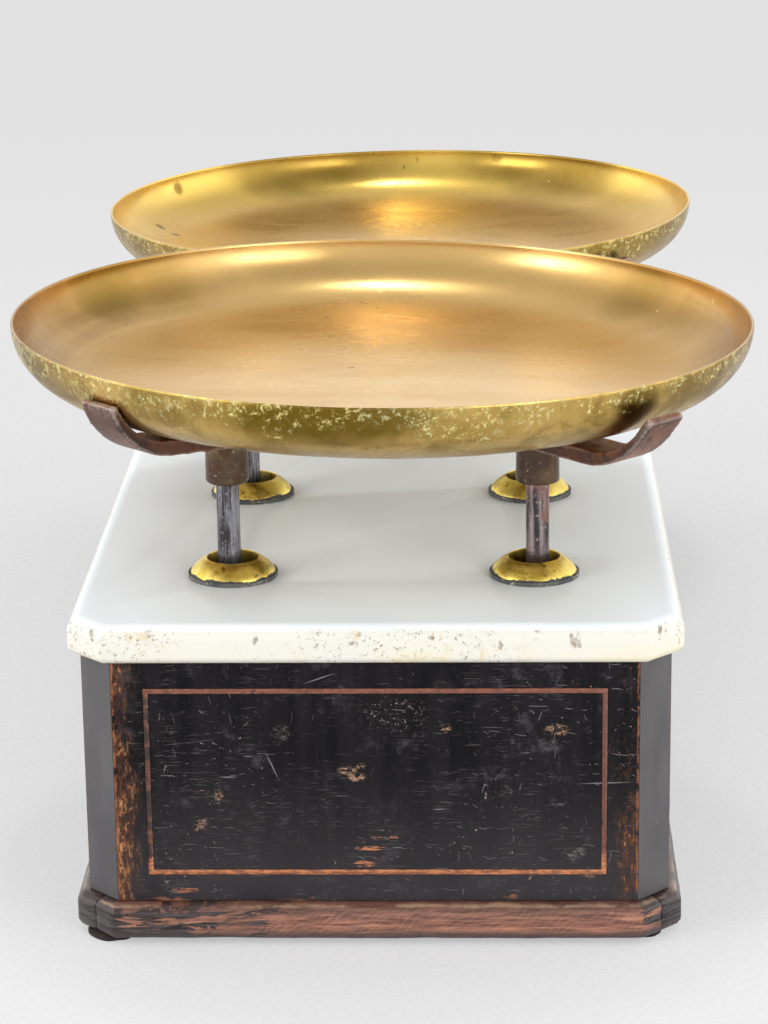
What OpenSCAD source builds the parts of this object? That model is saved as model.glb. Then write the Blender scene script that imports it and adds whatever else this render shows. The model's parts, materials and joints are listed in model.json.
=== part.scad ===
// Counter balance for a bakery: two loose brass pans on iron spiders, a marble top and a wooden case
// that holds a parallel-motion beam. Millimetres, +Z up, +Y from the front pan to the rear pan.
// It is drawn as it stands unloaded, with the front pan up and the rear pan down.

/* [Case] */
// Width of the wooden case across its side panels
case_w = 227; // [215:1:260]
// Length of the wooden case over its end panels
case_l = 611; // [590:1:680]
// Height of the panels, from the plinth to the marble
panel_h = 98.6; // [96:0.2:120]
// Thickness of the panels
panel_t = 10; // [8:0.5:12]
// Leg of the flat that is cut across each corner of the case
corner_cut = 12.6; // [11:0.2:16]
// Depth of the glue block behind each corner
corner_block = 16; // [10:1:24]
// Height of the plinth moulding
plinth_h = 14.3; // [13.5:0.1:20]
// How far the plinth stands out past the panels
plinth_out = 5.1; // [3:0.1:8]
// Radius along the top edge of the plinth
plinth_round = 4.5; // [2:0.5:6]
// Radius along the bottom edge of the plinth
plinth_foot_round = 2; // [1:0.5:3]
// Thickness of the bottom board
board_t = 11; // [9:0.5:12]
// How far the bottom board sits above the plinth's lower edge
board_rise = 1.5; // [0:0.1:2]
// Height of the pads under the corners
foot_h = 2.5; // [2:0.1:6]
// Diameter of the pads under the corners
foot_d = 28; // [20:1:34]
// How far the middle of a pad is in from the plinth's sides
foot_inset = 14.5; // [12:0.5:24]

/* [Inlaid line] */
// Width of the line let into each panel
inlay_w = 2; // [1:0.1:4]
// Depth of the line
inlay_deep = 1.2; // [0.6:0.1:2.5]
// Margin between the line and the ends of a panel
inlay_side_margin = 12.2; // [8:0.2:20]
// Margin between the line and the top and bottom of a panel
inlay_top_margin = 11.1; // [8:0.1:20]

/* [Marble top] */
// Thickness of the marble
marble_t = 15.2; // [12:0.2:22]
// How far the marble stands out past the case
marble_out = 4.5; // [2:0.5:9]
// Leg of the flat across each corner of the marble
marble_cut = 14; // [8:0.5:20]
// Radius along the marble's top edge
marble_round = 6; // [2:0.5:7]
// Radius along the marble's bottom edge
marble_low_round = 3.5; // [1:0.5:4]
// Diameter of the holes that the posts pass through
marble_hole_d = 24; // [21:0.5:28]

/* [Collars] */
// Outer diameter of a brass collar
collar_d = 34.8; // [32:0.2:40]
// Diameter of the hole in a collar
collar_hole_d = 20.2; // [17:0.2:22]
// Height of a collar above its seat
collar_h = 6; // [4:0.2:9]
// Width of the rounded lip round the hole
collar_lip = 1.6; // [1:0.1:2.4]
// Height of the grey seat under a collar
seat_h = 1.6; // [1:0.1:3]
// How far the seat stands out past the collar
seat_out = 0.4; // [0:0.1:1]
// How much nearer to the middle a collar is than the post that it surrounds
collar_in = 1.3; // [0:0.1:1.8]

/* [Pans] */
// Outer diameter of a pan at its rim
pan_d = 300; // [280:1:320]
// Outside depth of a pan
pan_depth = 30; // [26:0.5:40]
// Thickness of the brass sheet
pan_wall = 1.2; // [1:0.1:2]
// Exponent of the pan's outline: higher is flatter below and squarer at the wall
pan_square = 7.7; // [6:0.1:9]
// Sideways lean of the front pan, in degrees, with its left side up
front_lean = 0.9; // [0:0.1:1.2]
// Sideways lean of the rear pan, in degrees, with its right side up
rear_lean = 0.6; // [0:0.1:1.2]
// How far a pan's middle is in from the end of the case
pan_inset = 118.75; // [110:0.25:122]
// Height of a pan's rim above the marble, with the beam level
rim_rise = 79.1; // [74:0.1:95]
// How far each loose pan lies off the middle: the front one to the right, the rear one to the left
pan_shift = 1; // [0:0.1:1.2]

/* [Spiders and posts] */
// Diameter of a post
post_d = 9.2; // [8:0.2:11]
// Distance between the left and the right posts of a pan
post_pitch_x = 122; // [118:0.5:126]
// Distance between the front and the rear posts of a pan
post_pitch_y = 115; // [108:0.5:120]
// Diameter of a post's riveted end
rivet_d = 7; // [5:0.2:8]
// Diameter of the ferrule at the top of a post
ferrule_d = 17.2; // [14:0.2:20]
// Height of that ferrule
ferrule_h = 16.3; // [10:0.1:18]
// Radius along the ferrule's lower edge
ferrule_round = 1.2; // [0.5:0.1:2]
// Angle between a spider's bars and the side-to-side line, in degrees
bar_angle = 46; // [44:0.5:47]
// Width of a spider's flat bars
bar_w = 19; // [16:0.5:24]
// Thickness of a spider's flat bars
bar_t = 6.2; // [5:0.1:8]
// Thickness at the turned-up tips
tip_t = 3.4; // [2:0.1:5]
// Radius of the close arm's bend, under the bar
close_r = 35; // [32:0.5:37]
// Slope of the close arm at its tip, in degrees
close_angle = 72; // [66:1:75]
// Slope of the close arm where its bend starts, in degrees
close_rise = 6.5; // [3:0.5:8]
// How far the close arm has risen where its bend starts
close_lift = 4.4; // [2:0.1:5]
// How far inside the pan's rim a spread arm starts to bend
spread_in = 29.5; // [24:0.5:31]
// Radius of the spread arm's bend, under the bar
spread_r = 38; // [34:0.5:42]
// Slope of the spread arm at its tip, in degrees
spread_angle = 52; // [48:1:56]
// Straight length at the spread arm's tip
spread_tail = 9.5; // [5:0.5:14]

/* [Beam and stay] */
// How far the works sit to the right of the case's middle
works_x = 2; // [0:0.1:3]
// Tilt of the beam as it stands, in degrees, which is half of its whole swing
rest_tilt = 4.08; // [2:0.02:4.4]
// Height of the stay's pivots above the bottom board, with the beam level
stay_rise = 25; // [23.5:0.1:27]
// Gap between the beam's two bars
beam_gap = 40; // [36:0.5:42]
// Thickness of each of the beam's bars
beam_t = 6; // [5:0.5:7]
// Depth of the beam at its ends
beam_end_h = 12; // [10:0.5:14]
// Depth of the beam at its middle
beam_mid_h = 28; // [22:0.5:32]
// Diameter of the spacers between the bars
spacer_d = 12; // [8:0.5:14]
// Height of a knife's section
knife_h = 10; // [8:0.5:10]
// Width of a knife's section
knife_w = 13; // [10:0.5:14]
// Width of the stay
stay_w = 8; // [6:0.5:9]
// Depth of the stay
stay_h = 12; // [8:0.5:13]
// Diameter of the stay's eyes
eye_d = 16; // [14:0.5:16]
// Diameter of the stay's pins
pin_d = 7; // [5:0.5:8]
// Width of the leather pads that stop the stay
stop_w = 24; // [18:1:40]
// Length of those pads along the stay
stop_l = 20; // [14:1:40]

/* [Stand and carriers] */
// Width of each bearing along the knife edge
bearing_w = 12; // [10:0.5:14]
// Length of each bearing across the knife edge
bearing_l = 16; // [14:0.5:20]
// Height of each bearing
bearing_h = 12; // [10:0.5:14]
// Length of the stand's foot
stand_l = 60; // [50:1:80]
// Thickness of the stand's foot
stand_t = 6; // [5:0.5:10]
// Depth of the stand's two uprights
upright_l = 26; // [20:1:34]
// Thickness of a carrier's frame
frame_t = 10; // [8:0.5:11]
// Width of a carrier's cross members
frame_w = 10; // [8:0.5:12]
// Thickness of the two legs that reach down to the stay
leg_t = 5; // [4:0.5:6]
// Width of those legs
leg_l = 14; // [12:0.5:18]
// Diameter of the slug that trims the rear side
slug_d = 26; // [16:1:30]
// Height of the slug, which hangs under the carrier's cross member
slug_h = 20; // [8:0.5:22]
// Diameter of the stand's screws
screw_d = 5; // [4:0.5:6]
// Diameter of the screws' heads
screw_head_d = 9; // [8:0.5:11]
// Height of the screws' heads
screw_head_h = 2.4; // [2:0.1:4]

/* [Clearances] */
// Radial clearance of pins and posts in their holes
fit_gap = 0.05; // [0.03:0.01:0.1]
// Gap at the open pivots between the stay and the carriers
open_gap = 0.3; // [0.2:0.05:0.5]
// Gap between a knife edge and its bearing
edge_gap = 0.2; // [0.1:0.05:0.4]
// Gap between a pan and the bars that it rests on
pan_gap = 0.35; // [0.2:0.05:0.6]
// Gap between a pan's wall and the tip of a close arm
tip_gap = 0.45; // [0.3:0.05:1]
// Gap between the stay and its pad at the end of the swing
stop_gap = 0.3; // [0.2:0.05:0.6]
// Gap between a raised carrier and the marble
top_gap = 4.28; // [3:0.01:6]
// Gap between the moving parts and what they pass
run_gap = 2; // [1:0.5:3]

/* [Hidden] */
$fn = 64;

// Small overlap that lets a cutter pass through a face
cut = 1;
FRONT = -1;
REAR = 1;
// Corners of a post pattern, as signs of x and y
CORNERS = [[-1, -1], [1, -1], [-1, 1], [1, 1]];

// Heights
plinth_z = foot_h;
panel_z = plinth_z + plinth_h;
marble_z = panel_z + panel_h;
marble_top_z = marble_z + marble_t;
board_z = plinth_z + board_rise;
board_top = board_z + board_t;

// Case
plinth_w = case_w + 2*plinth_out;
plinth_l = case_l + 2*plinth_out;
plinth_cut = corner_cut + plinth_out*(2 - sqrt(2));
inner_w = case_w - 2*panel_t;
inner_l = case_l - 2*panel_t;
face_w = case_w - 2*corner_cut;
face_l = case_l - 2*corner_cut;
foot_x = plinth_w/2 - foot_inset;
foot_y = plinth_l/2 - foot_inset;
marble_w = case_w + 2*marble_out;
marble_l = case_l + 2*marble_out;
collar_pitch_x = post_pitch_x - 2*collar_in;

// Works: heights, the distance from the middle knife to an end knife, and how far an end moves
pan_pitch = case_l - 2*pan_inset;
arm_l = pan_pitch/2/cos(rest_tilt);
lift = arm_l*sin(rest_tilt);
groove_deep = 2.2;
frame_z = marble_z - top_gap - lift - frame_t;
edge_z = frame_z - bearing_h + groove_deep;
stay_z = board_top + stay_rise;

// Spiders, as heights with the beam level
rim_level = marble_top_z + rim_rise;
pan_r = pan_d/2;
spread_start = pan_r - spread_in;
lean_sink = (post_pitch_x/2 + bar_w/4)*sin(max(front_lean, rear_lean));
bar_top = rim_level - pan_depth - lean_sink - pan_gap;
bar_z = bar_top - bar_t;
ferrule_z = bar_z - ferrule_h;
root_r = norm([post_pitch_x, post_pitch_y])/2;

// A close arm's tip stands just clear of the pan's wall, and that sets where its bend starts
tip_z = bar_z + close_lift + close_r*(cos(close_rise) - cos(close_angle)) + tip_t*cos(close_angle);
tip_drop = rim_level + pan_r*cos(bar_angle)*sin(front_lean) - tip_z;
wall_r = pan_r*pow(1 - pow(tip_drop/pan_depth, 2), 1/pan_square);
tip_r = wall_r + abs(works_x - pan_shift)*cos(bar_angle) + tip_gap;
close_start = tip_r - close_r*(sin(close_angle) - sin(close_rise)) + tip_t*sin(close_angle);
BEND_STEPS = 12;
PAN_STEPS = 30;

// Beam and stand
bearing_x = beam_gap/2 + beam_t + bearing_w/2 + run_gap*2;
knife_reach = bearing_x + bearing_w/2;
groove_tan = tan(60);
leg_x = stay_w/2 + run_gap;
link_pin_l = 2*(leg_x + leg_t);
upright_x = bearing_x;
upright_t = bearing_w;
stand_bearing_z = edge_z + groove_deep - bearing_h;
spacer_y = pan_pitch/4;
stand_w = 2*(upright_x + upright_t/2) + 2*screw_head_d + 2*run_gap;
screw_x = stand_w/2 - screw_head_d/2 - run_gap/2;
screw_y = stand_l/2 - screw_head_d;
slug_y = -post_pitch_y/2;
stop_h = stay_z - lift - eye_d/2 - stop_gap - board_top;

// What is cut away from one straight edge, seen along the edge, with the slab to the left of x = 0
module edge_waste(h, r_low, r_top) {
    difference() {
        translate([-r_low, -cut]) square([r_low + cut, r_low + cut]);
        translate([-r_low, r_low]) circle(r_low);
    }
    difference() {
        translate([-r_top, h - r_top]) square([r_top + cut, r_top + cut]);
        translate([-r_top, h - r_top]) circle(r_top);
    }
}

// A bar with rounded long edges, standing on z = 0 and running along y
module rounded_bar(w, l, h, r_low, r_top) {
    rotate([90, 0, 0]) linear_extrude(l, center = true) difference() {
        translate([-w/2, 0]) square([w, h]);
        for (sx = [-1, 1])
            scale([sx, 1]) translate([w/2, 0]) edge_waste(h, r_low, r_top);
    }
}

// A slab with cut corners and rounded edges, standing on z = 0
module rounded_slab(w, l, leg, h, r_low, r_top) {
    across = ((w + l)/2 - leg)*sqrt(2);
    over = 2*(w + l);
    intersection() {
        rounded_bar(w, over, h, r_low, r_top);
        rotate([0, 0, 90]) rounded_bar(l, over, h, r_low, r_top);
        rotate([0, 0, 45]) rounded_bar(across, over, h, r_low, r_top);
        rotate([0, 0, -45]) rounded_bar(across, over, h, r_low, r_top);
    }
}

// The sector of the plan that belongs to the right side, out to the mitres at the corners
module side_sector() {
    run = (case_l - case_w)/2;
    linear_extrude(plinth_h)
        polygon([[0, -run], [case_w, -run - case_w], [case_w, run + case_w], [0, run]]);
}

// The sector of the plan that belongs to the rear end
module end_sector() {
    run = (case_l - case_w)/2;
    linear_extrude(plinth_h) polygon([[0, run], [case_w, run + case_w], [-case_w, run + case_w]]);
}

module plinth_ring() {
    difference() {
        rounded_slab(plinth_w, plinth_l, plinth_cut, plinth_h, plinth_foot_round, plinth_round);
        translate([-inner_w/2, -inner_l/2, -cut]) cube([inner_w, inner_l, plinth_h + 2*cut]);
    }
}

// A plinth rail along one long side
module plinth_side(sign_x) {
    color("#241c19") translate([0, 0, plinth_z]) intersection() {
        plinth_ring();
        rotate([0, 0, sign_x > 0 ? 0 : 180]) side_sector();
    }
}

// A plinth rail across one end
module plinth_end(sign_y) {
    color("#4a2a1e") translate([0, 0, plinth_z]) intersection() {
        plinth_ring();
        rotate([0, 0, sign_y > 0 ? 0 : 180]) end_sector();
    }
}

module base_board() {
    color("#6b4a33") translate([-inner_w/2, -inner_l/2, board_z]) cube([inner_w, inner_l, board_t]);
}

module feet() {
    color("#1c1512")
        for (c = CORNERS)
            translate([c[0]*foot_x, c[1]*foot_y, 0]) cylinder(d = foot_d, h = foot_h);
}

// The line's frame for a panel of the given width, with its outer face on y = 0 and the line behind it
module inlay_frame(w) {
    out_w = w - 2*inlay_side_margin;
    out_h = panel_h - 2*inlay_top_margin;
    translate([0, inlay_deep, panel_z + panel_h/2]) rotate([90, 0, 0]) linear_extrude(inlay_deep)
        difference() {
            square([out_w, out_h], center = true);
            square([out_w - 2*inlay_w, out_h - 2*inlay_w], center = true);
        }
}

// A panel with its outer face on y = 0
module panel_blank(w) {
    difference() {
        translate([-w/2, 0, panel_z]) cube([w, panel_t, panel_h]);
        inlay_frame(w);
    }
}

// Puts a panel or its line on a side of the case: 0 front, 90 right, 180 rear, 270 left
module on_side(angle) {
    out = angle == 0 || angle == 180 ? case_l/2 : case_w/2;
    rotate([0, 0, angle]) translate([0, -out, 0]) children();
}

module panel(angle) {
    w = angle == 0 || angle == 180 ? face_w : face_l;
    color("#221f1f") on_side(angle) panel_blank(w);
}

module inlay(angle) {
    w = angle == 0 || angle == 180 ? face_w : face_l;
    color("#9b5437") on_side(angle) inlay_frame(w);
}

// A corner piece: the flat outside, and a glue block behind the two panels
module corner(sign_x, sign_y) {
    x = case_w/2;
    y = case_l/2;
    color("#4b4a4b") scale([sign_x, sign_y, 1]) translate([0, 0, panel_z]) linear_extrude(panel_h)
        polygon([[x - corner_cut, y], [x, y - corner_cut], [x - panel_t, y - corner_cut],
            [x - panel_t, y - panel_t - corner_block], [x - panel_t - corner_block, y - panel_t],
            [x - corner_cut, y - panel_t]]);
}

// Middle of the post pattern under a pan
module at_pan_axis(end) {
    translate([works_x, end*pan_pitch/2, 0]) children();
}

module marble_top() {
    color("#e9e7e2") difference() {
        translate([0, 0, marble_z])
            rounded_slab(marble_w, marble_l, marble_cut, marble_t, marble_low_round, marble_round);
        for (end = [FRONT, REAR], c = CORNERS)
            at_pan_axis(end) translate([c[0]*collar_pitch_x/2, c[1]*post_pitch_y/2, marble_z - cut])
                cylinder(d = marble_hole_d, h = marble_t + 2*cut);
    }
}

// A domed brass ring with a rounded lip round its hole
module collar(end, c) {
    hole_r = collar_hole_d/2;
    crown_r = hole_r + collar_lip;
    base_r = collar_d/2;
    steps = 8;
    side_power = 1.2;
    top_power = 0.9;
    color("#b8963c") at_pan_axis(end)
        translate([c[0]*collar_pitch_x/2, c[1]*post_pitch_y/2, marble_top_z + seat_h])
            rotate_extrude()
                polygon(concat(
                    [[hole_r, 0], [base_r, 0]],
                    [for (i = [1 : steps]) let (a = 90*i/steps)
                        [crown_r + (base_r - crown_r)*pow(cos(a), side_power), collar_h*pow(sin(a), top_power)]],
                    [[hole_r + collar_lip/3, collar_h - collar_lip/5],
                        [hole_r, collar_h - collar_lip/2]]));
}

module collar_seats() {
    color("#6f7371")
        for (end = [FRONT, REAR], c = CORNERS)
            at_pan_axis(end) translate([c[0]*collar_pitch_x/2, c[1]*post_pitch_y/2, marble_top_z])
                difference() {
                    cylinder(d = collar_d + 2*seat_out, h = seat_h);
                    translate([0, 0, -cut]) cylinder(d = collar_hole_d + collar_lip, h = seat_h + 2*cut);
                }
}

// Points of a pan's outline from its middle to its rim, close together where it curves
function pan_curve(depth, rim_r) = [for (i = [0 : PAN_STEPS]) let (a = 90*i/PAN_STEPS)
    [rim_r*pow(sin(a), 2/pan_square), -depth*cos(a)]];

function reversed(list) = [for (i = [len(list) - 1 : -1 : 0]) list[i]];

module pan_shell() {
    outer = pan_curve(pan_depth, pan_r);
    inner = pan_curve(pan_depth - pan_wall, pan_r - pan_wall);
    rotate_extrude($fn = 180) polygon(concat(outer, reversed(inner)));
}

// A pan as it lies on its spider, leaning a little to one side
module pan(end, lean) {
    color("#b0904f")
        translate([-end*pan_shift, end*pan_pitch/2, rim_level - end*lift])
            rotate([0, lean, 0]) pan_shell();
}

// Parts that ride on a carrier are drawn at their level height and raised or lowered as they stand
module on_carrier(end) {
    translate([works_x, end*pan_pitch/2, -end*lift]) children();
}

module post(end, c) {
    color("#4d4644") on_carrier(end)
        translate([c[0]*post_pitch_x/2, c[1]*post_pitch_y/2, 0]) {
            translate([0, 0, frame_z]) cylinder(d = post_d, h = bar_z - frame_z);
            translate([0, 0, bar_z]) cylinder(d = rivet_d, h = bar_t);
        }
}

module ferrules(end) {
    r = ferrule_d/2;
    color("#5d5048") on_carrier(end)
        for (c = CORNERS)
            translate([c[0]*post_pitch_x/2, c[1]*post_pitch_y/2, ferrule_z])
                rotate_extrude() {
                    translate([post_d/2 + fit_gap, 0])
                        square([r - ferrule_round - post_d/2 - fit_gap, ferrule_h]);
                    translate([post_d/2 + fit_gap, ferrule_round])
                        square([r - post_d/2 - fit_gap, ferrule_h - ferrule_round]);
                    translate([r - ferrule_round, ferrule_round]) circle(ferrule_round, $fn = 24);
                }
}

// An arm seen from the side: slopes along its bend, points of its underside, and points of its top side
function bend_slopes(rise, angle) = [for (i = [0 : BEND_STEPS]) rise + (angle - rise)*i/BEND_STEPS];
function arm_under(rise, start, up, r, angle) = [for (a = bend_slopes(rise, angle))
    [start + r*(sin(a) - sin(rise)), up + r*(cos(rise) - cos(a))]];
function arm_thick(i) = bar_t + (tip_t - bar_t)*i/BEND_STEPS;
function arm_over(under, slopes) = [for (i = [0 : BEND_STEPS])
    under[i] + arm_thick(i)*[-sin(slopes[i]), cos(slopes[i])]];
function flipped(list) = [for (p = list) [-p[0], p[1]]];

// Side view of a whole bar, with its underside on y = 0: the spread arm to the right, the close arm to the left
module bar_outline() {
    spread_under = arm_under(0, spread_start, 0, spread_r, spread_angle);
    spread_over = arm_over(spread_under, bend_slopes(0, spread_angle));
    tail = spread_tail*[cos(spread_angle), sin(spread_angle)];
    tail_points = [spread_under[BEND_STEPS] + tail, spread_over[BEND_STEPS] + tail];
    close_under = arm_under(close_rise, close_start, close_lift, close_r, close_angle);
    close_over = arm_over(close_under, bend_slopes(close_rise, close_angle));
    polygon(concat([[-root_r, 0]], spread_under, tail_points, reversed(spread_over), [[-root_r, bar_t]],
        flipped(close_over), reversed(flipped(close_under))));
}

// One bar of a spider: a close arm on one end and a spread arm on the other, and half of the lap joint
module spider_bar(end, turn, keep_low) {
    color("#4e3229") on_carrier(end) difference() {
        rotate([0, 0, turn]) translate([0, 0, bar_z]) rotate([90, 0, 0])
            linear_extrude(bar_w, center = true) bar_outline();
        rotate([0, 0, -turn]) translate([0, 0, bar_z + (keep_low ? bar_t/2 : -cut)])
            linear_extrude(bar_t/2 + cut)
                square([4*bar_w, bar_w], center = true);
        for (c = CORNERS)
            translate([c[0]*post_pitch_x/2, c[1]*post_pitch_y/2, bar_z - cut])
                cylinder(d = rivet_d + 2*fit_gap, h = bar_t + 2*cut);
    }
}

// A carrier: two cross members between the posts, two side members over the beam's ends, and two legs
module carrier(end) {
    color("#3a3534") on_carrier(end) difference() {
        union() {
            for (sy = [-1, 1])
                translate([0, sy*post_pitch_y/2, frame_z + frame_t/2])
                    cube([post_pitch_x, frame_w, frame_t], center = true);
            for (c = CORNERS)
                translate([c[0]*post_pitch_x/2, c[1]*post_pitch_y/2, frame_z])
                    cylinder(d = post_d + frame_w, h = frame_t);
            for (sx = [-1, 1])
                translate([sx*bearing_x, 0, frame_z + frame_t/2])
                    cube([bearing_w, post_pitch_y, frame_t], center = true);
            translate([0, 0, frame_z + frame_t/2]) cube([2*bearing_x, leg_l, frame_t], center = true);
            for (sx = [-1, 1])
                translate([sx*(leg_x + leg_t/2), 0, (stay_z + frame_z)/2])
                    cube([leg_t, leg_l, frame_z - stay_z + frame_t/2], center = true);
            for (sx = [-1, 1])
                translate([sx*(leg_x + leg_t/2), 0, stay_z]) rotate([0, 90, 0])
                    cylinder(d = leg_l, h = leg_t, center = true);
        }
        for (c = CORNERS)
            translate([c[0]*post_pitch_x/2, c[1]*post_pitch_y/2, frame_z - cut])
                cylinder(d = post_d + 2*fit_gap, h = frame_t + 2*cut);
        translate([0, 0, stay_z]) rotate([0, 90, 0])
            cylinder(d = pin_d + 2*fit_gap, h = link_pin_l + 2*cut, center = true);
    }
}

// A bearing with a groove that opens downwards, its groove's bottom just above the edge
module hung_bearing() {
    difference() {
        translate([-bearing_w/2, -bearing_l/2, frame_z - bearing_h])
            cube([bearing_w, bearing_l, bearing_h]);
        groove(-1);
    }
}

// The groove's waste: its bottom is on the edge line, and it opens up (1) or down (-1)
module groove(way) {
    wide = bearing_h*groove_tan;
    translate([0, 0, edge_z - way*edge_gap]) rotate([90, 0, 90])
        linear_extrude(bearing_w + 2*cut, center = true)
            polygon([[0, 0], [wide, way*bearing_h], [-wide, way*bearing_h]]);
}

module bearings(end) {
    color("#77787a") on_carrier(end)
        for (sx = [-1, 1])
            translate([sx*bearing_x, 0, 0]) hung_bearing();
}

module link_pin(end) {
    color("#8a8a8c") on_carrier(end) translate([0, 0, stay_z]) rotate([0, 90, 0])
        cylinder(d = pin_d, h = link_pin_l, center = true);
}

module tare_slug() {
    color("#74777b") on_carrier(REAR)
        translate([0, slug_y, frame_z - slug_h]) cylinder(d = slug_d, h = slug_h);
}

// A knife's section with its edge on the origin, pointing up (1) or down (-1)
module knife_section(way) {
    half = knife_w/2;
    flank = knife_h*0.6;
    polygon([[0, 0], [half, -way*flank], [half, -way*knife_h], [-half, -way*knife_h], [-half, -way*flank]]);
}

// Runs a section along x, from x0 to x1, at a place along the beam
module along_x(y, z, x0, x1) {
    translate([x0, y, z]) rotate([90, 0, 90]) linear_extrude(x1 - x0) children();
}

// The beam's parts are drawn level and turned about the middle knife's edge
module on_beam() {
    translate([works_x, 0, edge_z]) rotate([-rest_tilt, 0, 0]) children();
}

module beam_bar_outline() {
    end_y = arm_l + knife_w;
    mid_top = beam_mid_h/2;
    end_top = beam_end_h/3;
    end_low = end_top - beam_end_h;
    flat_y = arm_l - post_pitch_y/2 - frame_w - run_gap;
    polygon([[-end_y, end_low], [-flat_y, end_low], [-knife_w, -mid_top], [knife_w, -mid_top],
        [flat_y, end_low], [end_y, end_low], [end_y, end_top], [flat_y, end_top],
        [knife_w, mid_top], [-knife_w, mid_top], [-flat_y, end_top], [-end_y, end_top]]);
}

module beam() {
    color("#38383a") on_beam() difference() {
        union() {
            for (sx = [-1, 1])
                translate([sx*(beam_gap/2 + beam_t/2), 0, 0]) rotate([90, 0, 90])
                    linear_extrude(beam_t, center = true) beam_bar_outline();
            for (sy = [-1, 1])
                translate([0, sy*spacer_y, 0]) rotate([0, 90, 0])
                    cylinder(d = spacer_d, h = beam_gap, center = true);
        }
        along_x(0, 0, -knife_reach, knife_reach) knife_section(-1);
        for (sy = [-1, 1])
            along_x(sy*arm_l, 0, -knife_reach, knife_reach) knife_section(1);
    }
}

module middle_knife() {
    color("#8b8d90") on_beam() along_x(0, 0, -knife_reach, knife_reach) knife_section(-1);
}

module end_knives() {
    color("#8b8d90") on_beam()
        for (sy = [-1, 1], sx = [-1, 1])
            scale([sx, 1, 1]) along_x(sy*arm_l, 0, beam_gap/2, knife_reach) knife_section(1);
}

module stay() {
    end_hole_d = pin_d + 2*open_gap;
    color("#3f3f41") translate([works_x, 0, stay_z]) rotate([-rest_tilt, 0, 0]) difference() {
        union() {
            cube([stay_w, 2*arm_l, stay_h], center = true);
            for (y = [-arm_l, 0, arm_l])
                translate([0, y, 0]) rotate([0, 90, 0]) cylinder(d = eye_d, h = stay_w, center = true);
        }
        for (y = [-arm_l, arm_l])
            translate([0, y, 0]) rotate([0, 90, 0])
                cylinder(d = end_hole_d, h = stay_w + 2*cut, center = true);
        rotate([0, 90, 0]) cylinder(d = pin_d + 2*fit_gap, h = stay_w + 2*cut, center = true);
    }
}

module stand() {
    upright_h = stand_bearing_z - board_top;
    color("#33383a") translate([works_x, 0, 0]) difference() {
        union() {
            translate([-stand_w/2, -stand_l/2, board_top]) cube([stand_w, stand_l, stand_t]);
            for (sx = [-1, 1])
                translate([sx*upright_x - upright_t/2, -upright_l/2, board_top])
                    cube([upright_t, upright_l, upright_h]);
        }
        translate([0, 0, stay_z]) rotate([0, 90, 0])
            cylinder(d = pin_d + 2*fit_gap, h = stand_w, center = true);
        for (sx = [-1, 1], sy = [-1, 1])
            translate([sx*screw_x, sy*screw_y, board_top - cut])
                cylinder(d = screw_d + 2*fit_gap, h = stand_t + 2*cut);
    }
}

module stand_bearings() {
    color("#77787a") translate([works_x, 0, 0])
        for (sx = [-1, 1])
            translate([sx*bearing_x, 0, 0]) difference() {
                translate([-bearing_w/2, -bearing_l/2, stand_bearing_z])
                    cube([bearing_w, bearing_l, bearing_h]);
                groove(1);
            }
}

module stand_screws() {
    color("#8a8070") translate([works_x, 0, 0])
        for (sx = [-1, 1], sy = [-1, 1])
            translate([sx*screw_x, sy*screw_y, board_top + stand_t]) {
                cylinder(d = screw_head_d, h = screw_head_h);
                translate([0, 0, -stand_t]) cylinder(d = screw_d, h = stand_t);
            }
}

module stay_pin() {
    color("#8a8a8c") translate([works_x, 0, stay_z]) rotate([0, 90, 0])
        cylinder(d = pin_d, h = 2*upright_x + upright_t, center = true);
}

module stop_pads() {
    color("#5d3b22")
        for (end = [FRONT, REAR])
            at_pan_axis(end) translate([-stop_w/2, -stop_l/2, board_top])
                cube([stop_w, stop_l, stop_h]);
}

base_board();
plinth_end(FRONT);  // plinth_front
plinth_end(REAR);  // plinth_rear
plinth_side(-1);  // plinth_left
plinth_side(1);  // plinth_right
panel(0);  // panel_front
panel(180);  // panel_rear
panel(270);  // panel_left
panel(90);  // panel_right
corner(-1, -1);  // corner_front_left
corner(1, -1);  // corner_front_right
corner(-1, 1);  // corner_rear_left
corner(1, 1);  // corner_rear_right
inlay(0);  // inlay_front
inlay(180);  // inlay_rear
inlay(270);  // inlay_left
inlay(90);  // inlay_right
feet();
marble_top();
collar(FRONT, CORNERS[0]);  // front_collar_1
collar(FRONT, CORNERS[1]);  // front_collar_2
collar(FRONT, CORNERS[2]);  // front_collar_3
collar(FRONT, CORNERS[3]);  // front_collar_4
collar(REAR, CORNERS[0]);  // rear_collar_1
collar(REAR, CORNERS[1]);  // rear_collar_2
collar(REAR, CORNERS[2]);  // rear_collar_3
collar(REAR, CORNERS[3]);  // rear_collar_4
collar_seats();
stand();
stand_bearings();
stand_screws();
stop_pads();
stay_pin();
beam();
middle_knife();
end_knives();
stay();
carrier(FRONT);  // front_carrier
bearings(FRONT);  // front_bearings
post(FRONT, CORNERS[0]);  // front_post_1
post(FRONT, CORNERS[1]);  // front_post_2
post(FRONT, CORNERS[2]);  // front_post_3
post(FRONT, CORNERS[3]);  // front_post_4
ferrules(FRONT);  // front_ferrules
spider_bar(FRONT, bar_angle, true);  // front_bar_lower
spider_bar(FRONT, -bar_angle, false);  // front_bar_upper
link_pin(FRONT);  // front_link_pin
carrier(REAR);  // rear_carrier
bearings(REAR);  // rear_bearings
post(REAR, CORNERS[0]);  // rear_post_1
post(REAR, CORNERS[1]);  // rear_post_2
post(REAR, CORNERS[2]);  // rear_post_3
post(REAR, CORNERS[3]);  // rear_post_4
ferrules(REAR);  // rear_ferrules
spider_bar(REAR, bar_angle + 180, true);  // rear_bar_lower
spider_bar(REAR, -bar_angle + 180, false);  // rear_bar_upper
link_pin(REAR);  // rear_link_pin
tare_slug();
pan(FRONT, front_lean);  // front_pan
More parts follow.
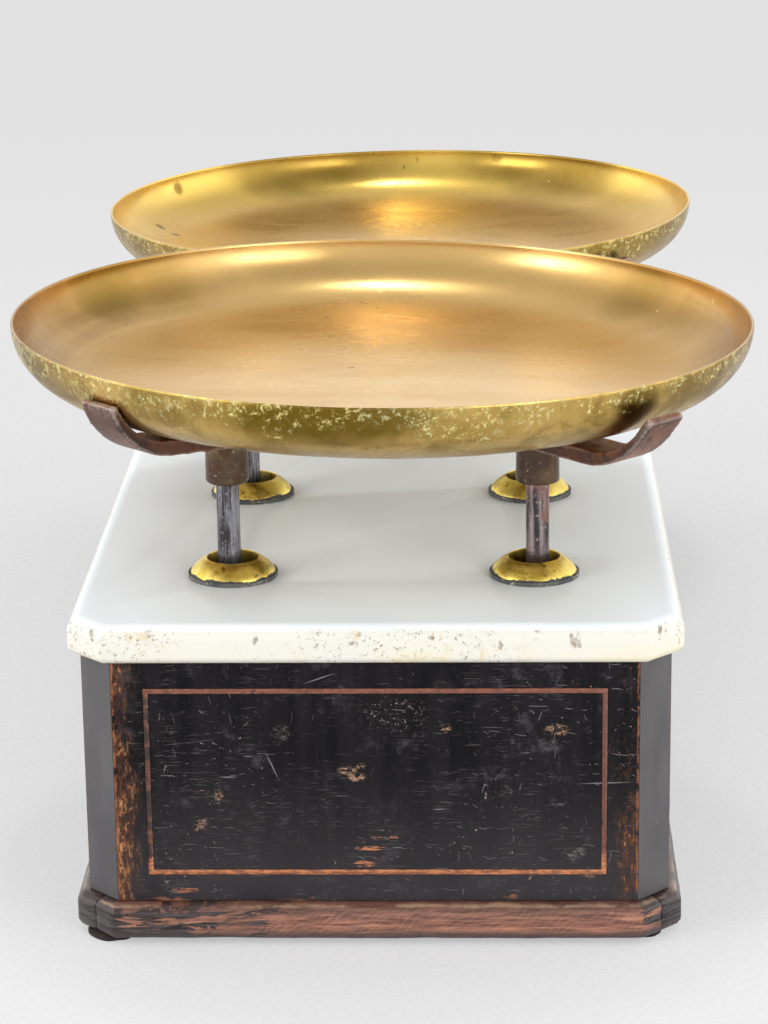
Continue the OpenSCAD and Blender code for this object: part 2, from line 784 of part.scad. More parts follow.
pan(REAR, -rear_lean);  // rear_pan
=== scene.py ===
"""Looks of a marble-topped counter balance, built round its CAD frame."""

import json
import math

import bmesh
import bpy
from mathutils import Matrix, Vector, noise

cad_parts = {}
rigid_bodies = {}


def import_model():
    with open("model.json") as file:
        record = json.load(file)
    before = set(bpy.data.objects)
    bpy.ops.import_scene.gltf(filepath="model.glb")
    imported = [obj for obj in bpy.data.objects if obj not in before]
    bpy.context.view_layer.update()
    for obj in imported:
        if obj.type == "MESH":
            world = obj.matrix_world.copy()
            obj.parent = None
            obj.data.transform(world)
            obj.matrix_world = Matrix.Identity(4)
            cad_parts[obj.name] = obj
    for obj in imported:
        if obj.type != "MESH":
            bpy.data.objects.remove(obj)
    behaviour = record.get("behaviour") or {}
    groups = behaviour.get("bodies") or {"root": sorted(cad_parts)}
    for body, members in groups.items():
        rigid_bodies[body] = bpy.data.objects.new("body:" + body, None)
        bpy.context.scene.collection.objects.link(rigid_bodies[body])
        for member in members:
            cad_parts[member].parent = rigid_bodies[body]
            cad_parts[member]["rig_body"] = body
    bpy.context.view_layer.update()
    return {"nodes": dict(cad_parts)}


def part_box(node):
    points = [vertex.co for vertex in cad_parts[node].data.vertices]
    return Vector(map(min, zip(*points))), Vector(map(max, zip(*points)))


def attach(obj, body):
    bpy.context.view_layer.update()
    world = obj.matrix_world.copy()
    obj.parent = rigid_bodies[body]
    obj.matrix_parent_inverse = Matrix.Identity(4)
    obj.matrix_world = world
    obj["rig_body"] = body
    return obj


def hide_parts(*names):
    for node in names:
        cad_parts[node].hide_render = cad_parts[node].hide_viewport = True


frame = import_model()
NODES = frame["nodes"]
MM = 0.001
ENDS = ("front", "rear")

# Camera, solved from the photograph
CAMERA_PLACE = Vector((41.19, -1453.05, 517.13))*MM
CAMERA_YAW = -0.032
CAMERA_PITCH = 0.290
CAMERA_ROLL = -0.013
CAMERA_LENS = 112.53
SENSOR = 36.0

# Places that the finishes refer to
MARBLE_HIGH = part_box("marble_top")[1]
PANEL_LOW, PANEL_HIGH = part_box("panel_front")
SIDE_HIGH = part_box("panel_right")[1]
PLINTH_LOW, PLINTH_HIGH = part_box("plinth_front")
TIP_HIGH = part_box("front_bar_lower")[1].z
TIP_LOW = TIP_HIGH - 9*MM


def add_object(name, data):
    made = bpy.data.objects.new(name, data)
    bpy.context.scene.collection.objects.link(made)
    return made


def add_camera():
    """The camera that took the photograph, turned from looking along y."""
    forward = Vector((math.sin(CAMERA_YAW)*math.cos(CAMERA_PITCH),
                      math.cos(CAMERA_YAW)*math.cos(CAMERA_PITCH),
                      -math.sin(CAMERA_PITCH)))
    level = Vector((math.cos(CAMERA_YAW), -math.sin(CAMERA_YAW), 0))
    up = level.cross(forward)
    right = math.cos(CAMERA_ROLL)*level + math.sin(CAMERA_ROLL)*up
    top = math.cos(CAMERA_ROLL)*up - math.sin(CAMERA_ROLL)*level
    data = bpy.data.cameras.new("camera")
    data.lens = CAMERA_LENS
    data.sensor_width = SENSOR
    data.clip_end = 50
    camera = add_object("camera", data)
    turn = Matrix((right, top, -forward)).transposed().to_4x4()
    camera.matrix_world = Matrix.Translation(CAMERA_PLACE) @ turn
    bpy.context.scene.camera = camera


def linear(value):
    """One channel from 0 to 255 as the linear value that a shader takes."""
    share = value/255
    return share/12.92 if share <= 0.04045 else ((share + 0.055)/1.055)**2.4


def tone(red, green, blue):
    """A colour of three channels from 0 to 255, as a shader takes it."""
    return (linear(red), linear(green), linear(blue), 1.0)


class Graph:
    """A node tree, with short calls for the nodes that the finishes and the world share."""

    def __init__(self, tree):
        self.tree = tree

    def node(self, kind, **settings):
        made = self.tree.nodes.new(kind)
        for key, value in settings.items():
            setattr(made, key, value)
        return made

    def join(self, source, target):
        """Feeds a socket from another one, or sets it to a plain value."""
        if isinstance(source, bpy.types.NodeSocket):
            self.tree.links.new(source, target)
        else:
            target.default_value = source

    def parts(self, vector):
        """The x, y and z of a vector."""
        split = self.node("ShaderNodeSeparateXYZ")
        self.join(vector, split.inputs[0])
        return split.outputs

    def math(self, operation, a, b=0.0):
        made = self.node("ShaderNodeMath", operation=operation)
        self.join(a, made.inputs[0])
        self.join(b, made.inputs[1])
        return made.outputs[0]

    def chain(self, operation, values):
        total = values[0]
        for value in values[1:]:
            total = self.math(operation, total, value)
        return total

    def plus(self, *values):
        return self.chain("ADD", values)

    def times(self, *values):
        return self.chain("MULTIPLY", values)

    def most(self, *values):
        return self.chain("MAXIMUM", values)

    def minus(self, a, b):
        return self.math("SUBTRACT", a, b)

    def ratio(self, a, b):
        return self.math("DIVIDE", a, b)

    def extent(self, value):
        """How far a value is from 0."""
        return self.math("ABSOLUTE", value)

    def size(self, *values):
        """Length of the vector with these parts."""
        return self.math("SQRT", self.plus(*[self.times(value, value) for value in values]))

    def ramp(self, value, low, high, bottom=0.0, top=1.0, course="LINEAR"):
        """Runs evenly from bottom to top as value goes from low to high."""
        made = self.node("ShaderNodeMapRange", interpolation_type=course)
        self.join(value, made.inputs["Value"])
        self.join(low, made.inputs["From Min"])
        self.join(high, made.inputs["From Max"])
        made.inputs["To Min"].default_value = bottom
        made.inputs["To Max"].default_value = top
        return made.outputs["Result"]

    def window(self, value, low, high, bottom=0.0, top=1.0):
        """Runs smoothly from bottom to top as value goes from low to high."""
        return self.ramp(value, low, high, bottom, top, "SMOOTHSTEP")

    def blend(self, share, a, b):
        """Mixes two plain values."""
        made = self.node("ShaderNodeMix", data_type="FLOAT")
        for value, index in ((share, 0), (a, 2), (b, 3)):
            self.join(value, made.inputs[index])
        return made.outputs[0]


COAT_ROUGHNESS = 0.2


class Finish(Graph):
    """One material: its shader, and the patterns that the finishes are made of."""

    def __init__(self, name, roughness=0.5, metallic=0.0, specular=0.5, coat=0.0):
        self.material = bpy.data.materials.new(name)
        self.material.use_nodes = True
        super().__init__(self.material.node_tree)
        self.shader = self.tree.nodes["Principled BSDF"]
        values = {"Roughness": roughness, "Metallic": metallic, "Specular IOR Level": specular,
                  "Coat Weight": coat, "Coat Roughness": COAT_ROUGHNESS}
        for label, value in values.items():
            self.shader.inputs[label].default_value = value
        self.place = self.node("ShaderNodeTexCoord").outputs["Object"]
        self.x, self.y, self.z = self.parts(self.place)
        self.colour = tone(0, 0, 0)

    def vector(self, x, y, z=0.0):
        made = self.node("ShaderNodeCombineXYZ")
        for value, socket in zip((x, y, z), made.inputs):
            self.join(value, socket)
        return made.outputs[0]

    def vector_math(self, operation, *values):
        made = self.node("ShaderNodeVectorMath", operation=operation)
        for value, socket in zip(values, made.inputs):
            self.join(value, socket)
        return made.outputs[0]

    def stretched(self, scale, turn=(0, 0, 0)):
        """The place scaled along each axis and turned by degrees, for noise that runs one way."""
        made = self.node("ShaderNodeMapping")
        self.join(self.place, made.inputs["Vector"])
        made.inputs["Scale"].default_value = scale
        made.inputs["Rotation"].default_value = [math.radians(a) for a in turn]
        return made.outputs[0]

    def noise(self, scale, detail=3.0, rough=0.5, warp=0.0, place=None, output="Fac"):
        made = self.node("ShaderNodeTexNoise")
        self.join(self.place if place is None else place, made.inputs["Vector"])
        made.inputs["Scale"].default_value = scale
        made.inputs["Detail"].default_value = detail
        made.inputs["Roughness"].default_value = rough
        made.inputs["Distortion"].default_value = warp
        return made.outputs[output]

    def streaks(self, scale, detail=3.0, rough=0.5, warp=0.0):
        """Noise with a scale of its own along each axis."""
        return self.noise(1.0, detail, rough, warp, place=self.stretched(scale))

    def under(self, value, low, high, bottom=0.0, top=1.0):
        """Top where value is below low, and bottom from high on."""
        return self.window(value, low, high, top, bottom)

    def near(self, value, middle, reach):
        """1 where value is at middle, and 0 from reach on."""
        return self.under(self.extent(self.minus(value, middle)), 0.0, reach)

    def spot(self, spans, ragged=0.5, grain=160, soft=0.25):
        """A ragged mark; spans holds a coordinate, its middle and its half size for each direction."""
        parts = [self.ratio(self.minus(value, middle), half) for value, middle, half in spans]
        rough = self.times(self.minus(self.noise(grain, 4, 0.65), 0.5), 4*ragged)
        return self.under(self.plus(rough, *[self.times(part, part) for part in parts]), 1 - soft, 1 + soft)

    def face_spot(self, x, z, wide, high, ragged=0.5, grain=160, soft=0.25):
        """A ragged mark on a face that looks along y, in millimetres."""
        return self.spot(((self.x, x*MM, wide*MM), (self.z, z*MM, high*MM)), ragged, grain, soft)

    def scatter(self, flat, scale):
        """The way to a point from the nearest of many random places, and that place's three chances."""
        cell = self.node("ShaderNodeTexVoronoi", voronoi_dimensions="2D")
        self.join(flat, cell.inputs["Vector"])
        cell.inputs["Scale"].default_value = scale
        away = self.vector_math("SUBTRACT", flat, cell.outputs["Position"])
        pick = self.node("ShaderNodeSeparateColor")
        self.join(cell.outputs["Color"], pick.inputs[0])
        return away, pick.outputs

    def scratches(self, flat, scale, share, length, width, swing, turn=0.0):
        """Short lines on a flat face, each turned by up to swing radians from turn."""
        away, chance = self.scatter(flat, scale)
        turned = self.node("ShaderNodeVectorRotate", rotation_type="Z_AXIS")
        self.join(away, turned.inputs["Vector"])
        spin = self.times(self.minus(chance[0], 0.5), 2*swing)
        self.join(self.plus(spin, turn), turned.inputs["Angle"])
        along, across, _ = self.parts(turned.outputs[0])
        reach = self.plus(self.times(chance[2], 0.7*length), 0.3*length)
        line = self.times(self.under(self.ratio(self.extent(along), reach), 0.5, 1.0),
                          self.under(self.extent(across), 0.3*width, width))
        strength = self.plus(self.times(chance[0], 0.75), 0.25)
        return self.times(line, strength, self.under(chance[1], share - 0.02, share + 0.02))

    def shaken(self, flat, amount, grain):
        """The place moved a little at random, so that what is drawn there gets a ragged outline."""
        wild = self.noise(grain, output="Color")
        return self.vector_math("MULTIPLY_ADD", wild, (amount, amount, 0.0), flat)

    def dots(self, flat, scale, share, size, ragged=1.0, grain=400):
        """Small ragged spots on a flat face, wider than they are high."""
        away, chance = self.scatter(self.shaken(flat, size*ragged, grain), scale)
        right, up, _ = self.parts(away)
        far = self.size(right, self.times(up, 1.5))
        reach = self.plus(self.times(chance[2], 0.8*size), 0.2*size)
        strength = self.plus(self.times(chance[0], 0.7), 0.3)
        drawn = self.under(self.ratio(far, reach), 0.7, 1.1)
        return self.times(drawn, strength, self.under(chance[1], share - 0.02, share + 0.02))

    def mix(self, share, a, b):
        """Mixes two colours."""
        made = self.node("ShaderNodeMix", data_type="RGBA")
        for value, index in ((share, 0), (a, 6), (b, 7)):
            self.join(value, made.inputs[index])
        return made.outputs[2]

    def lay(self, shade, *shares):
        """Lays a shade over the finish's colour, by the product of the shares."""
        self.colour = self.mix(self.times(*shares), self.colour, shade)

    def bump(self, height, depth, strength=1.0):
        """Raises the surface by depth where height is 1."""
        made = self.node("ShaderNodeBump")
        made.inputs["Distance"].default_value = depth
        made.inputs["Strength"].default_value = strength
        self.join(height, made.inputs["Height"])
        self.join(made.outputs[0], self.shader.inputs["Normal"])

    def attribute(self, name):
        return self.node("ShaderNodeAttribute", attribute_name=name).outputs["Fac"]

    def sideways(self):
        """1 where the surface faces along y, and 0 where it faces up, down or along x."""
        facing = self.parts(self.node("ShaderNodeTexCoord").outputs["Normal"])
        return self.window(self.extent(facing[1]), 0.45, 0.8)

    def done(self, roughness=None, metallic=None):
        """Feeds the shader and gives the material."""
        for value, label in ((self.colour, "Base Color"), (roughness, "Roughness"), (metallic, "Metallic")):
            if value is not None:
                self.join(value, self.shader.inputs[label])
        return self.material


def pan_inside(name, middle, reach, wall_tone, tarnish_and_shade, stains_and_shade):
    """Satin brass, paler on the floor of a pan, with painted shade in its wall's deeper tone; the wall is
    olive to the left and right, partly tarnish and partly painted shade.
    """
    f = Finish(name, metallic=1.0, coat=0.25)
    dx = f.minus(f.x, middle.x)
    dy = f.minus(f.y, middle.y)
    out = f.ratio(f.size(dx, dy), reach)
    broad = f.noise(9, 4, 0.55, 0.6)
    clouds = f.streaks((16, 40, 40), 5, 0.62, 0.5)
    turned = f.vector(f.times(out, 9.0), f.ratio(dx, out), f.ratio(dy, out))
    smears = f.noise(1.0, 5, 0.65, 0.6, place=f.vector_math("MULTIPLY", turned, (1.0, 2.2, 2.2)))
    f.colour = f.mix(f.window(broad, 0.36, 0.64), tone(220, 182, 112), tone(226, 190, 122))
    f.lay(tone(210, 168, 98), f.window(clouds, 0.46, 0.66), 0.4)
    # The wall is laid in a deeper tone than the floor: painted shade for the light the dish throws back on
    # its own wall.
    wall = f.window(f.plus(out, f.times(f.minus(broad, 0.5), 0.25)), 0.75, 1.02)
    f.lay(wall_tone, wall, 0.85)
    # Olive towards the left and right ends of the wall: partly tarnish and partly painted shade that dims
    # what the wall reflects there.
    ends = f.window(f.ratio(f.extent(dx), reach), 0.40, 0.85, 0.25, 1.0)
    olive = f.times(wall, ends, f.window(smears, 0.24, 0.58))
    f.lay(tone(144, 104, 34), olive, tarnish_and_shade)
    # Dark places: small stains, and larger patches on the walls that are partly stain and partly painted
    # shade dimming the lamps' reflections.
    for x, y, z, wide, high, depth in stains_and_shade:
        spans = ((f.x, x*MM, wide*MM), (f.y, y*MM, high*MM), (f.z, z*MM, min(wide, high)*MM))
        f.lay(tone(122, 94, 26), f.spot(spans, 0.45, 1100/(wide + high), 0.95), depth)
    flat = f.vector(f.x, f.y)
    pits = f.most(f.dots(flat, 24, 0.16, 0.0018), f.dots(flat, 60, 0.12, 0.0010))
    f.lay(tone(86, 58, 34), pits, 0.7)
    flecks = f.dots(flat, 75, 0.16, 0.0007)
    f.lay(tone(248, 228, 170), flecks, 0.8)
    rough = f.plus(f.window(clouds, 0.3, 0.7, 0.23, 0.34), f.times(pits, 0.3))
    f.bump(broad, 0.0015, 0.25)
    return f.done(rough)


def pan_outside(name, rim, smudges=()):
    """Older brass with olive smudges and a crust in flakes, thickest under the rim; darker at both sides as
    painted shade, and paler low down and at its foot as a painted reflection of the pale marble below.
    """
    f = Finish(name, metallic=1.0)
    below = f.minus(rim, f.z)
    broad = f.noise(15, 4, 0.6, 0.5)
    clouds = f.noise(44, 4, 0.65, 0.4)
    f.colour = f.mix(f.window(broad, 0.36, 0.64), tone(178, 148, 74), tone(208, 174, 104))
    # Darker towards the left and right, where the dish turns away: painted shade.
    painted_shade_sides = f.window(f.extent(f.x), 0.095, 0.14)
    f.lay(tone(146, 117, 56), painted_shade_sides, 0.9)
    # Paler low down and at the foot: painted reflection of the pale marble and floor below.
    f.lay(tone(186, 154, 104), f.window(below, 0.013, 0.027))
    f.lay(tone(230, 212, 178), f.window(below, 0.0275, 0.0290))
    dark = f.window(f.plus(clouds, f.times(broad, 0.4)), 0.68, 0.86)
    dark = f.times(dark, f.under(below, 0.016, 0.026), 0.55)
    for x, z, wide, high, depth in smudges:
        smudge = f.times(f.face_spot(x, z, wide, high, 0.45, 60, 0.85), f.under(f.y, -0.2, -0.15))
        dark = f.most(dark, f.times(smudge, depth))
    f.lay(tone(104, 83, 18), dark)
    cluster = f.plus(f.noise(30, 4, 0.72, 0.6), f.window(below, 0.0, 0.018, 0.15, -0.04))
    lace = f.noise(330, 5, 0.8, 0.5)
    grain = f.noise(900, 4, 0.75, 0.5)
    flakes = f.times(f.window(cluster, 0.49, 0.62), f.window(lace, 0.53, 0.58), f.window(grain, 0.44, 0.52))
    lone = f.times(f.window(f.noise(640, 4, 0.75), 0.66, 0.70), f.window(cluster, 0.42, 0.56))
    crust = f.most(flakes, f.times(lone, 0.9))
    film = f.times(f.window(cluster, 0.52, 0.66), f.window(lace, 0.44, 0.60), 0.22)
    f.lay(tone(206, 190, 118), film)
    pale = f.mix(f.window(f.noise(50, 2), 0.4, 0.6), tone(232, 218, 146), tone(212, 210, 156))
    f.lay(pale, crust, 0.9)
    rough = f.blend(crust, f.window(clouds, 0.3, 0.7, 0.22, 0.40), 0.75)
    metal = f.minus(1.0, f.times(crust, 0.8))
    f.bump(f.plus(crust, f.times(broad, 1.5)), 0.0002, 0.5)
    return f.done(rough, metal)


def spider_iron():
    """Bare iron gone brown, rubbed grey along its edges and pale at its tips; its narrow sides are a darker
    copy of its flat faces, as painted shade.
    """
    f = Finish("spider_iron", metallic=0.55)
    broad = f.noise(38, 4, 0.6, 0.5)
    fine = f.noise(620, 4, 0.68)
    pitted = f.noise(200, 4, 0.7)
    flat = f.mix(f.window(broad, 0.35, 0.62), tone(104, 72, 58), tone(154, 94, 56))
    # The narrow sides, which face along y, are a darker copy of the same iron: painted shade.
    side = f.mix(f.window(broad, 0.40, 0.66), tone(50, 31, 26), tone(72, 45, 34))
    f.colour = f.mix(f.sideways(), flat, side)
    high = f.times(f.window(f.z, TIP_LOW, TIP_HIGH), f.window(pitted, 0.40, 0.56))
    f.lay(tone(154, 130, 118), high, 0.8)
    f.lay(tone(54, 37, 34), f.window(pitted, 0.52, 0.64), 0.7)
    f.lay(tone(134, 116, 108), f.window(fine, 0.58, 0.70), 0.5)
    rubbed = f.times(f.window(f.attribute("edge"), 0.18, 0.55), f.window(f.noise(80, 3), 0.28, 0.50))
    f.lay(tone(176, 158, 146), rubbed, 0.7)
    f.bump(f.plus(fine, pitted), 0.00018, 0.6)
    return f.done(f.window(fine, 0.3, 0.7, 0.30, 0.50))


def post_steel(name, cool, rusty, share):
    """Steel rod with drawn-out dark streaks, and rust where the noise goes over share."""
    f = Finish(name, metallic=0.85)
    along = f.noise(3, 4, 0.6, place=f.stretched((170, 170, 14)))
    speckle = f.noise(620, 4, 0.75)
    f.colour = f.mix(f.window(along, 0.38, 0.60), cool, tone(64, 60, 64))
    f.lay(rusty, f.window(f.noise(60, 4, 0.65), share, share + 0.12))
    f.lay(tone(186, 170, 160), f.window(speckle, 0.58, 0.66), 0.8)
    f.lay(tone(46, 40, 42), f.under(speckle, 0.34, 0.40), 0.7)
    f.bump(speckle, 0.00015, 0.5)
    return f.done(f.window(along, 0.3, 0.7, 0.24, 0.40))


def ferrule_iron():
    f = Finish("ferrule_iron", metallic=0.9)
    broad = f.noise(70, 4, 0.6, 0.4)
    speckle = f.noise(700, 4, 0.7)
    f.colour = f.mix(f.window(broad, 0.35, 0.65), tone(76, 62, 52), tone(102, 84, 64))
    f.lay(tone(88, 62, 50), f.window(f.noise(110, 4, 0.6), 0.54, 0.68), 0.8)
    f.lay(tone(184, 168, 142), f.window(speckle, 0.61, 0.69), 0.8)
    f.bump(speckle, 0.00012, 0.5)
    return f.done(f.window(broad, 0.3, 0.7, 0.24, 0.38))


def collar_brass():
    """Satin yellow brass with small brown spots, worn through to grey along its ragged foot."""
    f = Finish("collar_brass", metallic=1.0)
    above = f.minus(f.z, MARBLE_HIGH.z)
    broad = f.noise(110, 4, 0.6, 0.4)
    spots = f.noise(360, 3, 0.65)
    f.colour = f.mix(f.window(broad, 0.36, 0.64), tone(208, 182, 82), tone(232, 210, 116))
    f.lay(tone(104, 76, 34), f.window(spots, 0.60, 0.68), 0.8)
    f.lay(tone(150, 122, 56), f.window(f.noise(150, 4, 0.7), 0.52, 0.66), 0.6)
    foot = f.plus(above, f.times(f.minus(f.noise(130, 4, 0.7), 0.5), 0.004))
    bare = f.under(foot, 0.0019, 0.0023)
    f.lay(tone(78, 79, 78), bare)
    inner = f.under(f.extent(f.attribute("hole")), 0.4, 0.6)
    f.lay(tone(96, 74, 44), f.minus(1.0, inner), 0.6)
    f.bump(f.plus(spots, broad, f.times(bare, -1.5)), 0.0001, 0.4)
    return f.done(f.blend(bare, f.window(broad, 0.3, 0.7, 0.32, 0.44), 0.6))


def seat_metal():
    """Dull grey soft metal, pale where it is chipped."""
    f = Finish("seat_metal", metallic=0.3, roughness=0.6)
    speckle = f.noise(520, 4, 0.75)
    f.colour = f.mix(f.window(f.noise(90, 4, 0.6), 0.4, 0.6), tone(74, 76, 78), tone(100, 101, 99))
    f.lay(tone(188, 182, 156), f.window(speckle, 0.57, 0.65))
    f.lay(tone(40, 40, 42), f.window(f.noise(380, 3, 0.7), 0.64, 0.7))
    f.bump(speckle, 0.0003, 0.7)
    return f.done()


# Place across and up, half width and half height of the larger stains on the edge of the marble
MARBLE_MARKS = ((-84.6, 128.8, 1.8, 2.0), (-44.6, 125.4, 1.0, 1.6), (76.1, 125.2, 2.2, 3.4),
                (48.0, 123.6, 1.0, 1.8), (-107.0, 126.6, 1.0, 2.4), (-8.0, 124.0, 1.6, 0.8),
                (22.0, 126.0, 1.2, 0.9), (108.0, 127.0, 0.8, 3.0))


def marble():
    """White marble with faint soft streaks; its top is painted near white and a little blue, and its edge a
    darker, warmer tone, as painted light and shade; the edge is also creamier, pitted and stained.
    """
    f = Finish("marble", specular=0.4)
    veins = f.noise(4.2, 3, 0.5, place=f.stretched((1.7, 0.8, 1.0), (0, 0, 35)))
    cloud = f.noise(7, 3, 0.5)
    # Near white and a little blue on top: painted light, to offset the shade and the warm light from the
    # brass under the pans.
    f.colour = f.mix(f.window(cloud, 0.3, 0.72), tone(242, 250, 255), tone(237, 245, 251))
    f.lay(tone(190, 192, 194), f.near(veins, 0.5, 0.12), 0.18)
    below = f.minus(MARBLE_HIGH.z, f.z)
    edge = f.window(below, 0.0006, 0.003)
    # The edge is a darker copy of the top: painted shade, to offset the stronger light that falls on it.
    f.lay(tone(223, 221, 212), edge)
    low = f.window(below, 0.004, 0.014)
    cream = f.times(low, f.window(f.noise(16, 3, 0.6), 0.40, 0.66))
    f.lay(tone(234, 219, 176), cream, 0.5)
    cluster = f.window(f.noise(24, 4, 0.62), 0.40, 0.58)
    halo = f.times(edge, cluster, f.window(f.noise(110, 4, 0.7, 0.8), 0.54, 0.68))
    f.lay(tone(214, 194, 146), halo, 0.65)
    small = f.times(cluster, f.window(f.noise(520, 4, 0.78, 0.6), 0.575, 0.62))
    big = f.window(f.noise(120, 5, 0.78, 0.6), 0.645, 0.68)
    for x, z, wide, high in MARBLE_MARKS:
        mark = f.face_spot(x, z, wide, high, 1.2, 420, 0.6)
        big = f.most(big, f.times(mark, f.window(f.noise(380, 4, 0.75), 0.38, 0.60)))
    pits = f.times(edge, f.most(small, big))
    f.lay(tone(128, 104, 68), pits, 0.8)
    f.bump(f.minus(0.0, pits), 0.0004, 0.4)
    return f.done(f.blend(pits, f.window(cloud, 0.3, 0.7, 0.27, 0.32), 0.8))


def lay_marks(f, marks, lines):
    """The larger marks, torn or combed, and the lone scratches of a panel."""
    torn = f.streaks((420, 420, 760), 4, 0.78, 0.6)
    ripped = f.times(f.window(torn, 0.48, 0.56), f.window(f.noise(1100, 2, 0.7), 0.34, 0.58))
    combed = f.window(f.streaks((150, 150, 1300), 4, 0.72, 0.4), 0.45, 0.54)
    for x, z, wide, high, shade, share in marks:
        tear = combed if high*3 < wide else ripped
        f.lay(shade, f.face_spot(x, z, wide, high, 1.1, 240, 0.8), tear, share)
    for x, z, long, slope in lines:
        dx = f.minus(f.x, x*MM)
        off = f.minus(f.minus(f.z, z*MM), f.times(dx, slope))
        line = f.times(f.near(dx, 0.0, 0.5*long*MM), f.near(off, 0.0, 0.0003*math.hypot(1.0, slope)))
        f.lay(tone(150, 142, 146), line, 0.9)


def lay_wear(f, run, half, cloud):
    """Lacquer worn off a panel's ends and foot; tells where the wood at the ends is bare."""
    ends = f.plus(f.extent(run), f.times(f.minus(f.noise(50, 4, 0.7), 0.5), 0.020))
    rubbed = f.window(ends, half - 0.012, half - 0.001)
    side = f.window(run, -0.2*half, 0.2*half, 0.0, 0.10)
    low = f.under(f.z, PANEL_LOW.z + 0.035, PANEL_HIGH.z - 0.022, 0.0, 0.12)
    worn = f.streaks((620, 620, 230), 5, 0.78, 0.5)
    share = f.minus(f.plus(worn, low, f.times(f.minus(cloud, 0.5), 0.3)), side)
    brown = f.times(rubbed, f.window(share, 0.44, 0.60))
    f.lay(tone(88, 56, 40), brown, 0.85)
    bare = f.times(rubbed, f.window(share, 0.61, 0.70))
    f.lay(f.mix(f.noise(240, 3), tone(158, 94, 56), tone(206, 154, 102)), bare, 0.9)
    ridge = f.times(f.window(f.extent(run), half - 0.0012, half - 0.0006), f.window(worn, 0.40, 0.55))
    f.lay(tone(150, 92, 60), ridge, 0.8)
    foot = f.plus(f.z, f.times(f.noise(70, 4, 0.75), 0.012))
    foot = f.under(foot, PANEL_LOW.z + 0.0062, PANEL_LOW.z + 0.0074)
    foot = f.times(foot, f.window(f.streaks((40, 40, 120), 3), 0.54, 0.62))
    f.lay(tone(160, 108, 78), foot, 0.7)
    return bare


# Place across and up, half width and half height of the dotted place on the front panel
CROWDED = (7, 94, 11, 7)


def panel_lacquer(name, along, half, marks=(), lines=(), dotted=0.0):
    """Black lacquer over wood; along is the panel's long direction and half its half length."""
    f = Finish(name, specular=0.14)
    run = f.x if along == "x" else f.y
    flat = f.vector(run, f.z)
    streaks = f.streaks((120, 120, 9), 4, 0.6)
    cloud = f.noise(26, 4, 0.6)
    f.colour = f.mix(f.window(streaks, 0.38, 0.64), tone(6, 5, 8), tone(22, 19, 22))
    dust = f.under(f.z, PANEL_LOW.z - 0.01, PANEL_LOW.z + 0.065)
    dust = f.times(dust, f.window(cloud, 0.2, 0.6, 0.6, 1.0))
    f.lay(tone(56, 52, 55), dust)
    haze = f.times(f.window(f.noise(90, 5, 0.75), 0.54, 0.70), f.window(cloud, 0.38, 0.60))
    f.lay(tone(78, 74, 78), haze, 0.55)
    crowd = f.window(f.noise(17, 3, 0.6), 0.36, 0.62, 0.1, 1.0)
    wiped = f.streaks((95, 95, 2300), 3, 0.7, 0.3)
    wiped = f.times(f.window(wiped, 0.56, 0.70), f.window(f.noise(48, 4, 0.7), 0.44, 0.60))
    f.lay(tone(122, 114, 116), wiped, 0.5)
    loose = f.shaken(flat, 0.0016, 300)
    fine = f.most(f.scratches(loose, 105, 0.36, 0.0044, 0.00015, 0.16),
                  f.scratches(loose, 230, 0.24, 0.0018, 0.00014, 0.6),
                  f.scratches(loose, 140, 0.14, 0.0034, 0.00014, 0.5, 1.5))
    f.lay(tone(150, 144, 146), fine, crowd, 0.8)
    f.lay(tone(150, 142, 142), f.scratches(flat, 38, 0.16, 0.012, 0.00016, 0.25), 0.5)
    specks = f.most(f.window(f.noise(640, 3, 0.8), 0.67, 0.72),
                    f.window(f.noise(230, 5, 0.8, 0.4), 0.655, 0.70))
    f.lay(f.mix(cloud, tone(142, 138, 142), tone(196, 158, 126)), specks, crowd, 0.9)
    lay_marks(f, marks, lines)
    crowded = f.times(f.window(f.noise(1000, 3, 0.8), 0.61, 0.66), f.face_spot(*CROWDED, 0.9, 120, 0.9))
    f.lay(tone(192, 174, 158), crowded, dotted*0.7)
    bare = lay_wear(f, run, half, cloud)
    f.bump(f.minus(f.times(cloud, 0.3), f.most(fine, specks, bare)), 0.00012, 0.4)
    return f.done(f.window(cloud, 0.35, 0.65, 0.30, 0.44))


def corner_lacquer():
    """Satin lacquer gone grey, on the cut corners."""
    f = Finish("corner_lacquer", specular=0.4)
    cloud = f.streaks((40, 40, 16), 4, 0.6)
    f.colour = f.mix(f.window(cloud, 0.35, 0.65), tone(75, 73, 75), tone(87, 85, 86))
    marks = f.window(f.noise(330, 4, 0.75), 0.68, 0.72)
    f.lay(tone(136, 128, 120), marks, 0.5)
    f.bump(f.minus(f.times(cloud, 0.3), marks), 0.00015, 0.4)
    return f.done(f.window(cloud, 0.3, 0.7, 0.36, 0.46))


def inlay_wood():
    """Let-in strip of pale wood: bare at its foot, darkened above, half lost under lacquer at its left."""
    f = Finish("inlay_wood")
    grain = f.streaks((200, 200, 620), 4, 0.65)
    foot = f.under(f.z, PANEL_LOW.z + 0.016, PANEL_LOW.z + 0.022)
    head = f.window(f.z, PANEL_HIGH.z - 0.016, PANEL_HIGH.z - 0.013)
    f.colour = f.mix(foot, tone(102, 62, 50), tone(190, 120, 78))
    f.lay(tone(130, 76, 58), head)
    f.lay(tone(92, 50, 36), f.window(grain, 0.40, 0.58), 0.7)
    flecks = f.window(f.noise(900, 3, 0.75), 0.60, 0.66)
    f.lay(tone(214, 160, 124), flecks, 0.45)
    hidden = f.times(f.under(f.x, -0.04, -0.02), f.minus(1.0, f.most(foot, head)), 0.12)
    lost = f.window(f.plus(f.noise(110, 5, 0.75), hidden), 0.60, 0.66)
    f.lay(tone(34, 26, 26), lost, 0.85)
    f.bump(grain, 0.0002, 0.5)
    return f.done()


